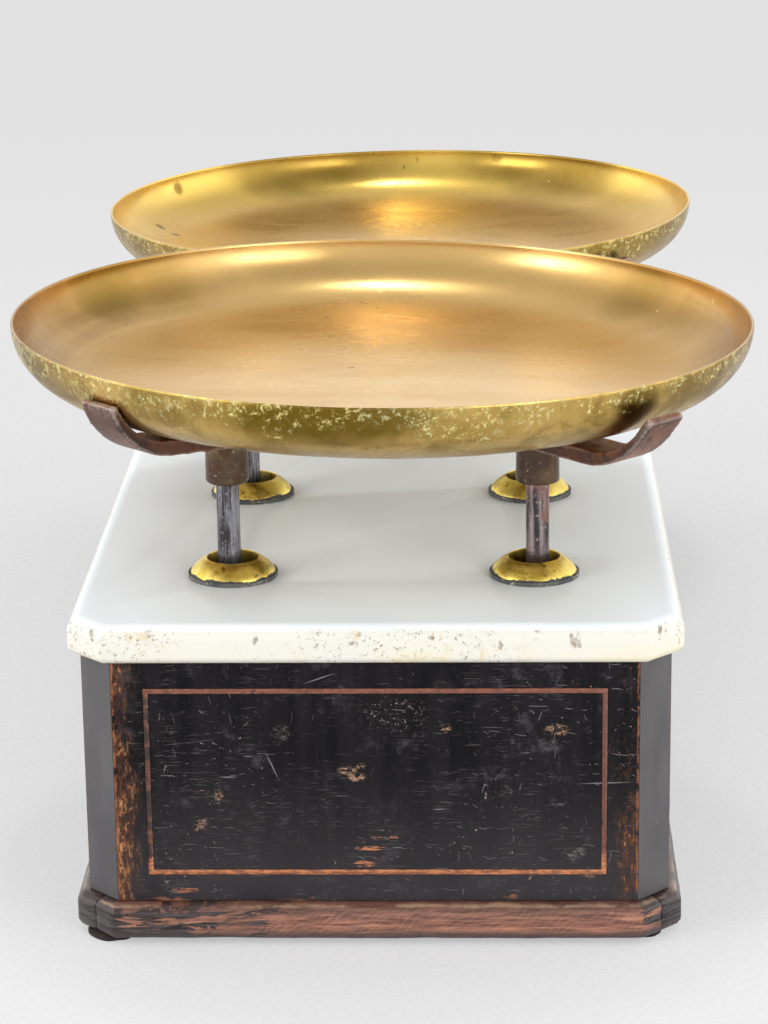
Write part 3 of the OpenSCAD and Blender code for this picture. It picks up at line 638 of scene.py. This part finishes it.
def plinth_lacquer(name, along, black_low, black_high):
    """Red-brown wood with slanting grain, under what is left of its black lacquer; darker along its top and
    along its foot, as painted shade.
    """
    f = Finish(name, specular=0.45)
    run = f.x if along == "x" else f.y
    bend = f.times(f.minus(f.noise(26, 3, 0.5), 0.5), 0.024)
    slant = f.vector(f.plus(f.times(run, 0.62), f.times(f.z, -0.8), bend), 0.0)
    grain = f.node("ShaderNodeTexWave", wave_type="BANDS", bands_direction="X", wave_profile="SIN")
    f.join(slant, grain.inputs["Vector"])
    for label, value in (("Scale", 130.0), ("Distortion", 1.2), ("Detail", 3.0), ("Detail Scale", 3.0)):
        grain.inputs[label].default_value = value
    fibre = f.streaks((60, 60, 900), 5, 0.72)
    f.colour = f.mix(f.noise(50, 3), tone(128, 83, 68), tone(158, 111, 92))
    f.lay(tone(78, 48, 42), f.window(fibre, 0.46, 0.62), 0.8)
    f.lay(tone(196, 136, 104), f.under(fibre, 0.36, 0.45), 0.6)
    line = f.times(f.window(grain.outputs["Fac"], 0.80, 0.98), f.window(f.noise(90, 3, 0.6), 0.34, 0.56))
    f.lay(tone(200, 150, 124), line, 0.2)
    patches = f.streaks((24, 24, 170), 6, 0.74, 0.5)
    cover = f.window(run, -0.7*PANEL_HIGH.x, 0.35*PANEL_HIGH.x, black_low, black_high)
    corner = f.window(f.extent(f.x), PANEL_HIGH.x - 0.003, PANEL_HIGH.x + 0.004, 0.0, 0.16)
    kept = f.under(patches, f.plus(cover, corner), f.plus(cover, corner, 0.025))
    f.lay(f.mix(f.window(fibre, 0.4, 0.6), tone(20, 16, 18), tone(76, 68, 69)), kept)
    down = f.minus(PLINTH_HIGH.z, f.z)
    ragged = f.times(f.minus(f.streaks((60, 60, 200), 5, 0.75), 0.5), 0.006)
    # Darker along the top, where the moulding faces up to the light: painted shade.
    f.lay(tone(62, 42, 37), f.under(f.plus(down, ragged), 0.0015, 0.0050), 0.6)
    crest = f.near(f.plus(down, f.times(ragged, 0.4)), 0.0009, 0.0007)
    crest = f.times(crest, f.window(f.noise(60, 4, 0.6), 0.42, 0.60))
    f.lay(tone(170, 140, 114), crest, 0.7)
    # Darker along the foot, next to the floor: painted shadow.
    low = f.under(f.z, PLINTH_LOW.z + 0.0020, PLINTH_LOW.z + 0.0050)
    f.lay(tone(66, 54, 54), low, 0.8)
    f.bump(f.plus(f.times(fibre, 0.8), f.times(kept, 0.7)), 0.00035, 0.7)
    return f.done(f.blend(kept, 0.42, 0.26))


def plain_wood():
    f = Finish("board_wood", roughness=0.7)
    grain = f.streaks((160, 8, 160), 4, 0.6)
    f.colour = f.mix(f.window(grain, 0.35, 0.65), tone(128, 92, 62), tone(92, 62, 42))
    f.bump(grain, 0.0003, 0.6)
    return f.done()


def pad_leather():
    f = Finish("pad_leather", roughness=0.85)
    fibre = f.streaks((420, 420, 900), 4, 0.7, 0.6)
    f.colour = f.mix(f.window(fibre, 0.4, 0.62), tone(16, 12, 11), tone(54, 38, 30))
    f.bump(fibre, 0.0008, 0.8)
    return f.done()


def works_iron():
    f = Finish("works_iron", metallic=0.6)
    broad = f.noise(40, 4, 0.6)
    fine = f.noise(500, 4, 0.65)
    f.colour = f.mix(f.window(broad, 0.4, 0.62), tone(58, 58, 60), tone(78, 70, 64))
    f.lay(tone(44, 40, 40), f.window(fine, 0.56, 0.7))
    f.bump(fine, 0.0002, 0.6)
    return f.done(f.window(broad, 0.3, 0.7, 0.45, 0.62))


def bright_steel():
    f = Finish("bright_steel", metallic=1.0)
    ground = f.streaks((90, 900, 900), 3, 0.6)
    f.colour = f.mix(f.window(ground, 0.35, 0.65), tone(150, 150, 154), tone(184, 184, 186))
    f.bump(ground, 0.00005, 0.4)
    return f.done(f.window(ground, 0.3, 0.7, 0.26, 0.4))


# Tones of the floor and the world behind it as the camera sees them, on the near and the far side
BACKDROP_NEAR = 243
BACKDROP_FAR = 227


def floor_finish():
    """Matt white, which far from the object is seen at one plain tone."""
    f = Finish("floor", roughness=0.9)
    grain = f.plus(f.streaks((900, 260, 1), 2, 0.5), f.streaks((260, 900, 1), 2, 0.5))
    f.colour = f.mix(f.window(grain, 0.8, 1.2), tone(214, 214, 215), tone(224, 224, 225))
    f.bump(grain, 0.0002, 0.3)
    rays = f.node("ShaderNodeLightPath").outputs
    seen = f.most(rays["Is Camera Ray"], rays["Is Glossy Ray"], rays["Is Transmission Ray"])
    plain = f.node("ShaderNodeEmission")
    near_tone = tone(BACKDROP_NEAR, BACKDROP_NEAR, BACKDROP_NEAR + 1)
    far_tone = tone(BACKDROP_FAR, BACKDROP_FAR - 1, BACKDROP_FAR - 1)
    f.join(f.mix(f.window(f.y, -0.5, 0.5), near_tone, far_tone), plain.inputs["Color"])
    both = f.node("ShaderNodeMixShader")
    f.join(f.times(seen, f.window(f.size(f.x, f.y), 0.35, 1.8, 0.5, 1.0)), both.inputs[0])
    f.join(f.shader.outputs[0], both.inputs[1])
    f.join(plain.outputs[0], both.inputs[2])
    f.join(both.outputs[0], f.tree.nodes["Material Output"].inputs["Surface"])
    return f.done()


FLOOR_RADIUS = 8.0


def add_stage():
    """A round floor, wide enough to reach past the picture on all sides."""
    floor_mesh = bpy.data.meshes.new("floor")
    shape = bmesh.new()
    bmesh.ops.create_circle(shape, cap_ends=True, radius=FLOOR_RADIUS, segments=96)
    shape.to_mesh(floor_mesh)
    shape.free()
    floor = add_object("floor", floor_mesh)
    floor_mesh.materials.append(floor_finish())


# Name, place, aim, size and watts of each lamp
LAMPS = (("ceiling", (0.0, 0.25, 2.4), (0, 0.05, 0), (0.22, 0.36), 7.0),
         ("window_left", (-2.1, -1.45, 1.05), (0, 0, 0.15), (0.9, 0.9), 17.0),
         ("window_right", (1.6, -2.0, 1.05), (0, 0, 0.15), (0.9, 0.9), 17.0))


def add_lamp(name, place, aim, size, power):
    """A white rectangular lamp that is turned to its aim."""
    data = bpy.data.lights.new(name, "AREA")
    data.shape = "RECTANGLE"
    data.size, data.size_y = size
    data.energy = power
    lamp = add_object(name, data)
    lamp.location = place
    lamp.rotation_euler = (Vector(aim) - Vector(place)).to_track_quat("-Z", "Y").to_euler()


def add_world():
    """Light that is strongest low down and at both sides; the camera sees the backdrop's tone instead."""
    world = bpy.data.worlds.new("studio")
    bpy.context.scene.world = world
    world.use_nodes = True
    graph = Graph(world.node_tree)
    back = graph.tree.nodes["Background"]
    back.inputs["Color"].default_value = (1.0, 1.0, 1.0, 1.0)
    x, y, z = graph.parts(graph.node("ShaderNodeTexCoord").outputs["Generated"])
    # Its strength by height, from front to back and towards the sides
    height = graph.ramp(z, 0.05, 0.8, 1.25, 0.8)
    away = graph.ramp(y, -0.7, 0.5, 0.92, 1.05)
    aside = graph.ramp(graph.extent(x), 0.6, 0.95, 1.0, 1.95)
    backdrop = graph.ramp(y, -0.3, 0.3, linear(BACKDROP_NEAR), linear(BACKDROP_FAR))
    camera_ray = graph.node("ShaderNodeLightPath").outputs["Is Camera Ray"]
    strength = graph.blend(camera_ray, graph.times(height, away, aside), backdrop)
    graph.join(strength, back.inputs["Strength"])


def link_mesh(name, mesh, finishes):
    """A new object in the scene, with only these finishes."""
    piece = add_object(name, mesh)
    mesh.materials.clear()
    for finish in finishes:
        mesh.materials.append(finish)
    return piece


def settle(piece):
    """Replaces a piece's mesh by what its modifiers make of it."""
    bpy.context.view_layer.update()
    done = piece.evaluated_get(bpy.context.evaluated_depsgraph_get())
    mesh = bpy.data.meshes.new_from_object(done)
    piece.modifiers.clear()
    piece.data = mesh


# Points and faces less than this apart, in metres and degrees, are joined; harder edges are rounded off
SAME_POINT = 0.002*MM
SAME_PLANE = 0.5
HARD_EDGE = 25


def place_piece(piece, node):
    """Puts a piece on its node's body, instead of the node."""
    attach(piece, NODES[node]["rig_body"])
    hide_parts(node)


def clean_copy(node):
    """A CAD node's shape as a mesh of joined, large faces."""
    shape = bmesh.new()
    shape.from_mesh(NODES[node].data)
    bmesh.ops.remove_doubles(shape, verts=shape.verts, dist=SAME_POINT)
    bmesh.ops.dissolve_limit(shape, angle_limit=math.radians(SAME_PLANE), verts=shape.verts,
                             edges=shape.edges)
    mesh = bpy.data.meshes.new(node + "_shape")
    shape.to_mesh(mesh)
    shape.free()
    return mesh


def softened(node, finish, width, segments=3):
    """A CAD node with its hard edges rounded off, over a width in millimetres."""
    piece = link_mesh(node + "_piece", clean_copy(node), [finish])
    round_off = piece.modifiers.new("round_off", "BEVEL")
    round_off.width = width*MM
    round_off.segments = segments
    round_off.limit_method = "ANGLE"
    round_off.angle_limit = math.radians(HARD_EDGE)
    round_off.harden_normals = True
    piece.data.shade_smooth()
    settle(piece)
    place_piece(piece, node)


# A forged surface: how strongly its edges count, the scale of its finer grain and how far it sinks
EDGE_GAIN = 3.2
FINE_GRAIN = 2.7
SINK = 0.35


def mark_edges(mesh):
    """Stores how strongly the surface bends outwards at each vertex, for wear along edges."""
    shape = bmesh.new()
    shape.from_mesh(mesh)
    shape.normal_update()
    bends = []
    for vertex in shape.verts:
        total = 0.0
        for edge in vertex.link_edges:
            away = edge.other_vert(vertex).co - vertex.co
            total -= away.normalized().dot(vertex.normal)
        bends.append(total/max(1, len(vertex.link_edges)))
    shape.verts.ensure_lookup_table()
    smooth = []
    for vertex in shape.verts:
        around = [bends[edge.other_vert(vertex).index] for edge in vertex.link_edges]
        smooth.append((bends[vertex.index] + sum(around))/(1 + len(around)))
    shape.free()
    layer = mesh.attributes.new("edge", "FLOAT", "POINT")
    layer.data.foreach_set("value", [min(1.0, max(0.0, value*EDGE_GAIN)) for value in smooth])


def forged(node, finish, voxel, wobble, grain):
    """A CAD node remeshed, its surface uneven by wobble millimetres, as forged or worn pieces are."""
    piece = link_mesh(node + "_piece", clean_copy(node), [finish])
    remesh = piece.modifiers.new("remesh", "REMESH")
    remesh.mode = "VOXEL"
    remesh.voxel_size = voxel*MM
    ease = piece.modifiers.new("ease", "SMOOTH")
    ease.factor = 0.5
    ease.iterations = 2
    settle(piece)
    points = [vertex.co.copy() for vertex in piece.data.vertices]
    normals = [vertex.normal.copy() for vertex in piece.data.vertices]
    moved = []
    for point, normal in zip(points, normals):
        lift = noise.noise(point*grain) + 0.5*noise.noise(point*grain*FINE_GRAIN)
        moved.extend(point + normal*(lift - SINK)*wobble*MM)
    piece.data.vertices.foreach_set("co", moved)
    piece.data.update()
    mark_edges(piece.data)
    piece.data.shade_smooth()
    place_piece(piece, node)


def lathe(profile, steps):
    """Vertices and faces of a closed profile of (radius, height) turned about z."""
    verts = []
    faces = []
    rows = len(profile)
    for k in range(steps):
        angle = 2*math.pi*k/steps
        for radius, height in profile:
            verts.append(Vector((radius*math.cos(angle), radius*math.sin(angle), height)))
    for k in range(steps):
        here = k*rows
        there = ((k + 1) % steps)*rows
        for i in range(rows):
            j = (i + 1) % rows
            faces.append((here + i, there + i, there + j, here + j))
    return verts, faces


def sharpen(mesh, angle):
    """Keeps edges that bend by more than the angle, in degrees, crisp."""
    shape = bmesh.new()
    shape.from_mesh(mesh)
    for edge in shape.edges:
        edge.smooth = len(edge.link_faces) != 2 or edge.calc_face_angle(0) < math.radians(angle)
    shape.to_mesh(mesh)
    shape.free()


def add_lathed(node, name, profile, steps, finishes, move, crisp=180):
    """A turned piece whose points are then moved; edges that bend by more than crisp degrees stay sharp."""
    verts, faces = lathe(profile, steps)
    mesh = bpy.data.meshes.new(name)
    mesh.from_pydata([move(vertex) for vertex in verts], [], faces)
    mesh.validate()
    mesh.shade_smooth()
    sharpen(mesh, crisp)
    piece = link_mesh(name, mesh, finishes)
    place_piece(piece, node)
    return piece


# Radius of the holes left on the axes of pans and turned pieces, so that every face there has an area
AXIS_GAP = 0.1*MM
TURNED_GAP = 0.2*MM

# A pan's section, and the height, number and start of the waves that bend it out of true
PAN_POWER = 7.7
PAN_WALL = 1.2*MM
PAN_DEPTH = 30*MM
PAN_WAVES = ((0.16*MM, 3, 0.7), (0.10*MM, 5, 2.1))
PAN_DENT = 0.35*MM
PAN_DENT_GRAIN = 14

# A collar's hole, the width of its edge, how far its foot stays inside the CAD box, and its curve's power
COLLAR_HOLE = 10.1*MM
COLLAR_EDGE = 0.6*MM
COLLAR_INSET = 0.5*MM
COLLAR_SWELL = 1.5
COLLAR_STEPS = 16
COLLAR_NICK = 0.12*MM
COLLAR_GRAIN = 90

POST_RIVET = 3.5*MM
POST_RIVET_HIGH = 6.2*MM
POST_LEVELS = 14
TURNED_PIT = 0.06*MM
TURNED_GRAIN = 160
PAD_RADIUS = 14*MM


def centre(low, high):
    """The middle of a box, at height 0."""
    return Vector(((low.x + high.x)/2, (low.y + high.y)/2, 0))


def pan_profile(radius, depth, steps):
    """A pan's curve from its middle to its rim, as (radius, height below the rim)."""
    points = []
    for i in range(1, steps + 1):
        a = math.pi/2*i/steps
        points.append((radius*math.sin(a)**(2/PAN_POWER), -depth*math.cos(a)))
    return points


def add_pan(end, lean, wall_tone, tarnish_and_shade, stains_and_shade, smudges=()):
    """A spun dish, tilted by lean degrees across the case, a little out of true."""
    node = end + "_pan"
    low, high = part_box(node)
    radius = (high.y - low.y)/2
    middle = centre(low, high)
    level = high.z - radius*math.sin(math.radians(abs(lean)))
    outer = pan_profile(radius, PAN_DEPTH, 40)
    inner = pan_profile(radius - PAN_WALL, PAN_DEPTH - PAN_WALL, 40)
    lip = [(radius, -0.3*PAN_WALL), (radius - 0.2*PAN_WALL, 0.0),
           (radius - 0.8*PAN_WALL, 0.0), (radius - PAN_WALL, -0.3*PAN_WALL)]
    foot, floor = (AXIS_GAP, -PAN_DEPTH), (AXIS_GAP, PAN_WALL - PAN_DEPTH)
    profile = [foot] + outer[:-1] + lip + inner[-2::-1] + [floor]
    tilt = Matrix.Translation((middle.x, middle.y, level)) @ Matrix.Rotation(math.radians(lean), 4, "Y")

    def bend(vertex):
        share = vertex.xy.length/radius
        angle = math.atan2(vertex.y, vertex.x)
        wave = sum(rise*math.sin(number*angle + begin) - rise for rise, number, begin in PAN_WAVES)
        grain = Vector((vertex.x*PAN_DENT_GRAIN, vertex.y*PAN_DENT_GRAIN, 3.0))
        dent = PAN_DENT*(noise.noise(grain) - 0.5)
        shift = wave*share**6 - dent*(1 - share**4)
        return tilt @ (vertex + Vector((0, 0, shift)))

    finishes = [pan_outside(node + "_outside", level, smudges),
                pan_inside(node + "_inside", middle, radius, wall_tone, tarnish_and_shade, stains_and_shade)]
    piece = add_lathed(node, node + "_piece", profile, 240, finishes, bend, crisp=50)
    first_inside = len(outer) + 1
    for index, face in enumerate(piece.data.polygons):
        face.material_index = 1 if first_inside <= index % len(profile) < len(profile) - 1 else 0


def add_collar(node, finish, seed):
    """A domed ring that rises to a thin, crisp edge round its hole."""
    low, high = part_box(node)
    middle = centre(low, high) + Vector((0, 0, low.z))
    base = (high.x - low.x)/2 - COLLAR_INSET
    tall = high.z - low.z
    crown = COLLAR_HOLE + COLLAR_EDGE
    profile = [(COLLAR_HOLE, 0.0), (COLLAR_HOLE, tall - COLLAR_EDGE),
               (COLLAR_HOLE + 0.3*COLLAR_EDGE, tall), (crown, tall - 0.2*COLLAR_EDGE)]
    for i in range(1, COLLAR_STEPS + 1):
        a = math.pi/2*(1 - i/COLLAR_STEPS)
        radius = crown + (base - crown)*math.cos(a)**COLLAR_SWELL
        profile.append((radius, (tall - 0.5*COLLAR_EDGE)*math.sin(a)**COLLAR_SWELL))

    def nicked(vertex):
        spot = Vector((vertex.x + seed, vertex.y - seed, vertex.z))*COLLAR_GRAIN
        outwards = Vector((vertex.x, vertex.y, 0)).normalized()
        return vertex + middle - outwards*abs(noise.noise(spot))*COLLAR_NICK

    mesh = add_lathed(node, node + "_piece", profile, 96, [finish], nicked, crisp=50).data
    in_hole = [float(index % len(profile) < 2) for index in range(len(mesh.vertices))]
    mesh.attributes.new("hole", "FLOAT", "POINT").data.foreach_set("value", in_hole)


def add_turned(node, name, middle, profile, finish):
    """A turned piece with a very slightly pitted surface."""
    def pitted(vertex):
        outwards = Vector((vertex.x, vertex.y, 0)).normalized()
        pit = abs(noise.noise((vertex + middle)*TURNED_GRAIN))*TURNED_PIT
        return vertex + middle - outwards*pit

    add_lathed(node, name, profile, 48, [finish], pitted, crisp=40)


def add_post(node, finish):
    """A turned post with slightly rounded ends and its riveted tip."""
    low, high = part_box(node)
    radius = (high.x - low.x)/2
    shoulder = high.z - POST_RIVET_HIGH
    ease = 0.5*MM
    profile = [(TURNED_GAP, low.z), (radius - ease, low.z), (radius, low.z + ease)]
    for i in range(1, POST_LEVELS):
        profile.append((radius, low.z + ease + (shoulder - low.z - 2*ease)*i/POST_LEVELS))
    profile += [(radius, shoulder - ease), (radius - ease, shoulder), (POST_RIVET, shoulder),
                (POST_RIVET, high.z - 0.6*MM), (POST_RIVET - 0.6*MM, high.z), (TURNED_GAP, high.z)]
    add_turned(node, node + "_piece", centre(low, high), profile, finish)


def add_ferrules(end, finish):
    """The sleeve at the head of each post, rounder at its foot on every other one."""
    node = end + "_ferrules"
    low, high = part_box(node)
    for index in range(1, 5):
        post_low, post_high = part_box(f"{end}_post_{index}")
        inner = (post_high.x - post_low.x)/2 + 0.05*MM
        outer = 8.6*MM
        ease = (1.6 if index % 2 else 0.7)*MM
        profile = [(inner, low.z), (outer - ease, low.z)]
        for i in range(1, 6):
            a = math.pi/2*i/5
            profile.append((outer - ease + ease*math.sin(a), low.z + ease - ease*math.cos(a)))
        for i in range(1, 6):
            profile.append((outer - 0.15*MM*i/5, low.z + ease + (high.z - low.z - 1.4*ease)*i/5))
        profile += [(outer - 0.6*MM, high.z), (inner, high.z)]
        add_turned(node, f"{end}_ferrule_{index}", centre(post_low, post_high), profile, finish)


def add_foot(index, middle, reach, tall, finish):
    """A worn leather pad with a ragged outline."""
    profile = [(TURNED_GAP, 0.0), (reach*0.5, 0.0), (reach*0.93, 0.0), (reach, 0.35*tall),
               (reach*0.98, 0.75*tall), (reach*0.9, tall), (reach*0.5, tall), (TURNED_GAP, tall)]

    def worn(vertex):
        angle = math.atan2(vertex.y, vertex.x)
        spot = Vector((math.cos(angle)*2.2, math.sin(angle)*2.2, index*3.1))
        ragged = 0.94 + 0.06*noise.noise(spot)
        return Vector((vertex.x*ragged, vertex.y*ragged, vertex.z)) + middle

    add_lathed("feet", f"foot_{index + 1}", profile, 40, [finish], worn)


add_camera()
add_stage()
for lamp in LAMPS:
    add_lamp(*lamp)
add_world()
bpy.context.scene.view_settings.view_transform = "Standard"

# Place across and up, half width, half height and depth of each dark place on the near side
FRONT_SMUDGES = ((-14, 217, 40, 9, 0.9), (99, 214, 9, 7, 0.85), (-74, 214, 8, 5, 0.6), (6, 216, 20, 5, 0.5))
# Place across, away and up, half sizes and depth of each dark place inside a pan; the small ones are
# stains, the large ones partly stains and partly painted shade that dims the reflections on the walls
FRONT_STAINS_AND_SHADE = ((-128, -107, 217, 28, 16, 0.9), (-104, -84, 216, 26, 14, 0.3),
                (112, -94, 210, 28, 12, 0.35), (-60, -46, 216, 40, 9, 0.2))
REAR_STAINS_AND_SHADE = ((-70, 316, 197, 56, 22, 0.8), (100, 304, 197, 52, 24, 0.95),
               (-40, 330, 194, 40, 14, 0.7), (62, 326, 194, 34, 14, 0.7), (-124, 268, 188, 3.4, 3.4, 0.9),
               (-130, 229, 175, 4.0, 1.8, 0.9), (-122, 226, 171, 2.6, 1.8, 0.9),
               (50, 326, 193, 3.4, 2.4, 0.8))
add_pan("front", 0.9, tone(222, 185, 120), 1.0, FRONT_STAINS_AND_SHADE, FRONT_SMUDGES)
add_pan("rear", -0.6, tone(220, 186, 84), 0.2, REAR_STAINS_AND_SHADE)

IRON = spider_iron()
for end in ENDS:
    for half in ("lower", "upper"):
        forged(f"{end}_bar_{half}", IRON, voxel=1.0, wobble=0.10, grain=90)

COOL_POST = post_steel("post_cool", tone(146, 146, 154), tone(122, 98, 88), 0.58)
RUSTY_POST = post_steel("post_rusty", tone(146, 132, 130), tone(138, 102, 92), 0.50)
FERRULE = ferrule_iron()
for end in ENDS:
    for index in range(1, 5):
        add_post(f"{end}_post_{index}", COOL_POST if index % 2 else RUSTY_POST)
    add_ferrules(end, FERRULE)

BRASS = collar_brass()
for end in ENDS:
    for index in range(1, 5):
        add_collar(f"{end}_collar_{index}", BRASS, index*0.37 + (2.0 if end == "rear" else 0.0))
NODES["collar_seats"].data.materials.clear()
NODES["collar_seats"].data.materials.append(seat_metal())

softened("marble_top", marble(), 0.4)

TAN = tone(184, 146, 120)
ORANGE = tone(190, 122, 86)
GREY = tone(126, 118, 112)
# Place across and up, half width, half height, colour and strength of each larger mark
FRONT_MARKS = ((-10.6, 71.2, 3.4, 1.8, TAN, 0.95), (-7.2, 68.2, 3.4, 1.6, TAN, 0.95),
               (-6.0, 72.8, 1.8, 1.3, TAN, 0.8), (-60.6, 60.6, 1.8, 2.6, TAN, 0.7),
               (2.7, 43.4, 4.4, 0.7, ORANGE, 0.95), (-2.5, 38.8, 5.2, 0.7, ORANGE, 0.95),
               (-4.5, 32.2, 5.5, 1.2, ORANGE, 0.9), (69.5, 87.5, 4.4, 2.0, TAN, 0.8),
               (-74.9, 21.5, 4.8, 1.2, ORANGE, 0.7), (-68.0, 48.5, 2.6, 2.4, TAN, 0.7),
               (76.0, 36.5, 4.4, 2.6, GREY, 0.6), (81.8, 27.5, 2.2, 0.9, TAN, 0.7),
               (-36.0, 86.5, 3.4, 2.6, GREY, 0.5), (27.0, 88.0, 2.0, 1.6, TAN, 0.7),
               (50.0, 62.0, 3.0, 2.4, GREY, 0.5))
# Place across and up, length across and slope of each lone scratch
FRONT_LINES = ((-39.8, 73.0, 6.0, -2.3), (88.0, 65.8, 26.0, 0.03), (-21.0, 108.5, 15.0, 0.35),
               (-57.0, 68.4, 9.0, 0.0), (24.0, 55.0, 6.0, 0.05))
FRONT_LACQUER = panel_lacquer("panel_front_lacquer", "x", PANEL_HIGH.x, FRONT_MARKS, FRONT_LINES, 1.0)
softened("panel_front", FRONT_LACQUER, 0.5)
softened("panel_rear", panel_lacquer("panel_rear_lacquer", "x", PANEL_HIGH.x), 0.5)
SIDE_LACQUER = panel_lacquer("panel_side_lacquer", "y", SIDE_HIGH.y)
softened("panel_left", SIDE_LACQUER, 0.5)
softened("panel_right", SIDE_LACQUER, 0.5)
CORNER = corner_lacquer()
for name in ("front_left", "front_right", "rear_left", "rear_right"):
    softened("corner_" + name, CORNER, 0.5)
INLAY = inlay_wood()
for name in ("front", "rear", "left", "right"):
    softened("inlay_" + name, INLAY, 0.15, 1)
END_PLINTH = plinth_lacquer("plinth_end_lacquer", "x", 0.46, 0.34)
SIDE_PLINTH = plinth_lacquer("plinth_side_lacquer", "y", 0.55, 0.45)
for name in ENDS:
    forged("plinth_" + name, END_PLINTH, voxel=1.2, wobble=0.25, grain=60)
for name in ("left", "right"):
    forged("plinth_" + name, SIDE_PLINTH, voxel=1.6, wobble=0.20, grain=60)

# The pad at the near left corner is wider, so that it shows as in the photograph
LEATHER = pad_leather()
PADS_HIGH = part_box("feet")[1]
for index, (sx, sy) in enumerate(((-1, -1), (1, -1), (-1, 1), (1, 1))):
    middle = Vector((sx*(PADS_HIGH.x - PAD_RADIUS), sy*(PADS_HIGH.y - PAD_RADIUS), 0))
    add_foot(index, middle, PAD_RADIUS*(0.8 if index == 0 else 0.5), PADS_HIGH.z, LEATHER)

WORKS = works_iron()
BRIGHT = bright_steel()
softened("base_board", plain_wood(), 0.4)
for name in ("stand", "beam", "stay", "front_carrier", "rear_carrier"):
    softened(name, WORKS, 0.5, 2)
for name in ("stand_bearings", "stand_screws", "stay_pin", "middle_knife", "end_knives", "front_bearings",
             "rear_bearings", "front_link_pin", "rear_link_pin", "tare_slug"):
    softened(name, BRIGHT, 0.3, 2)
softened("stop_pads", LEATHER, 0.6, 2)
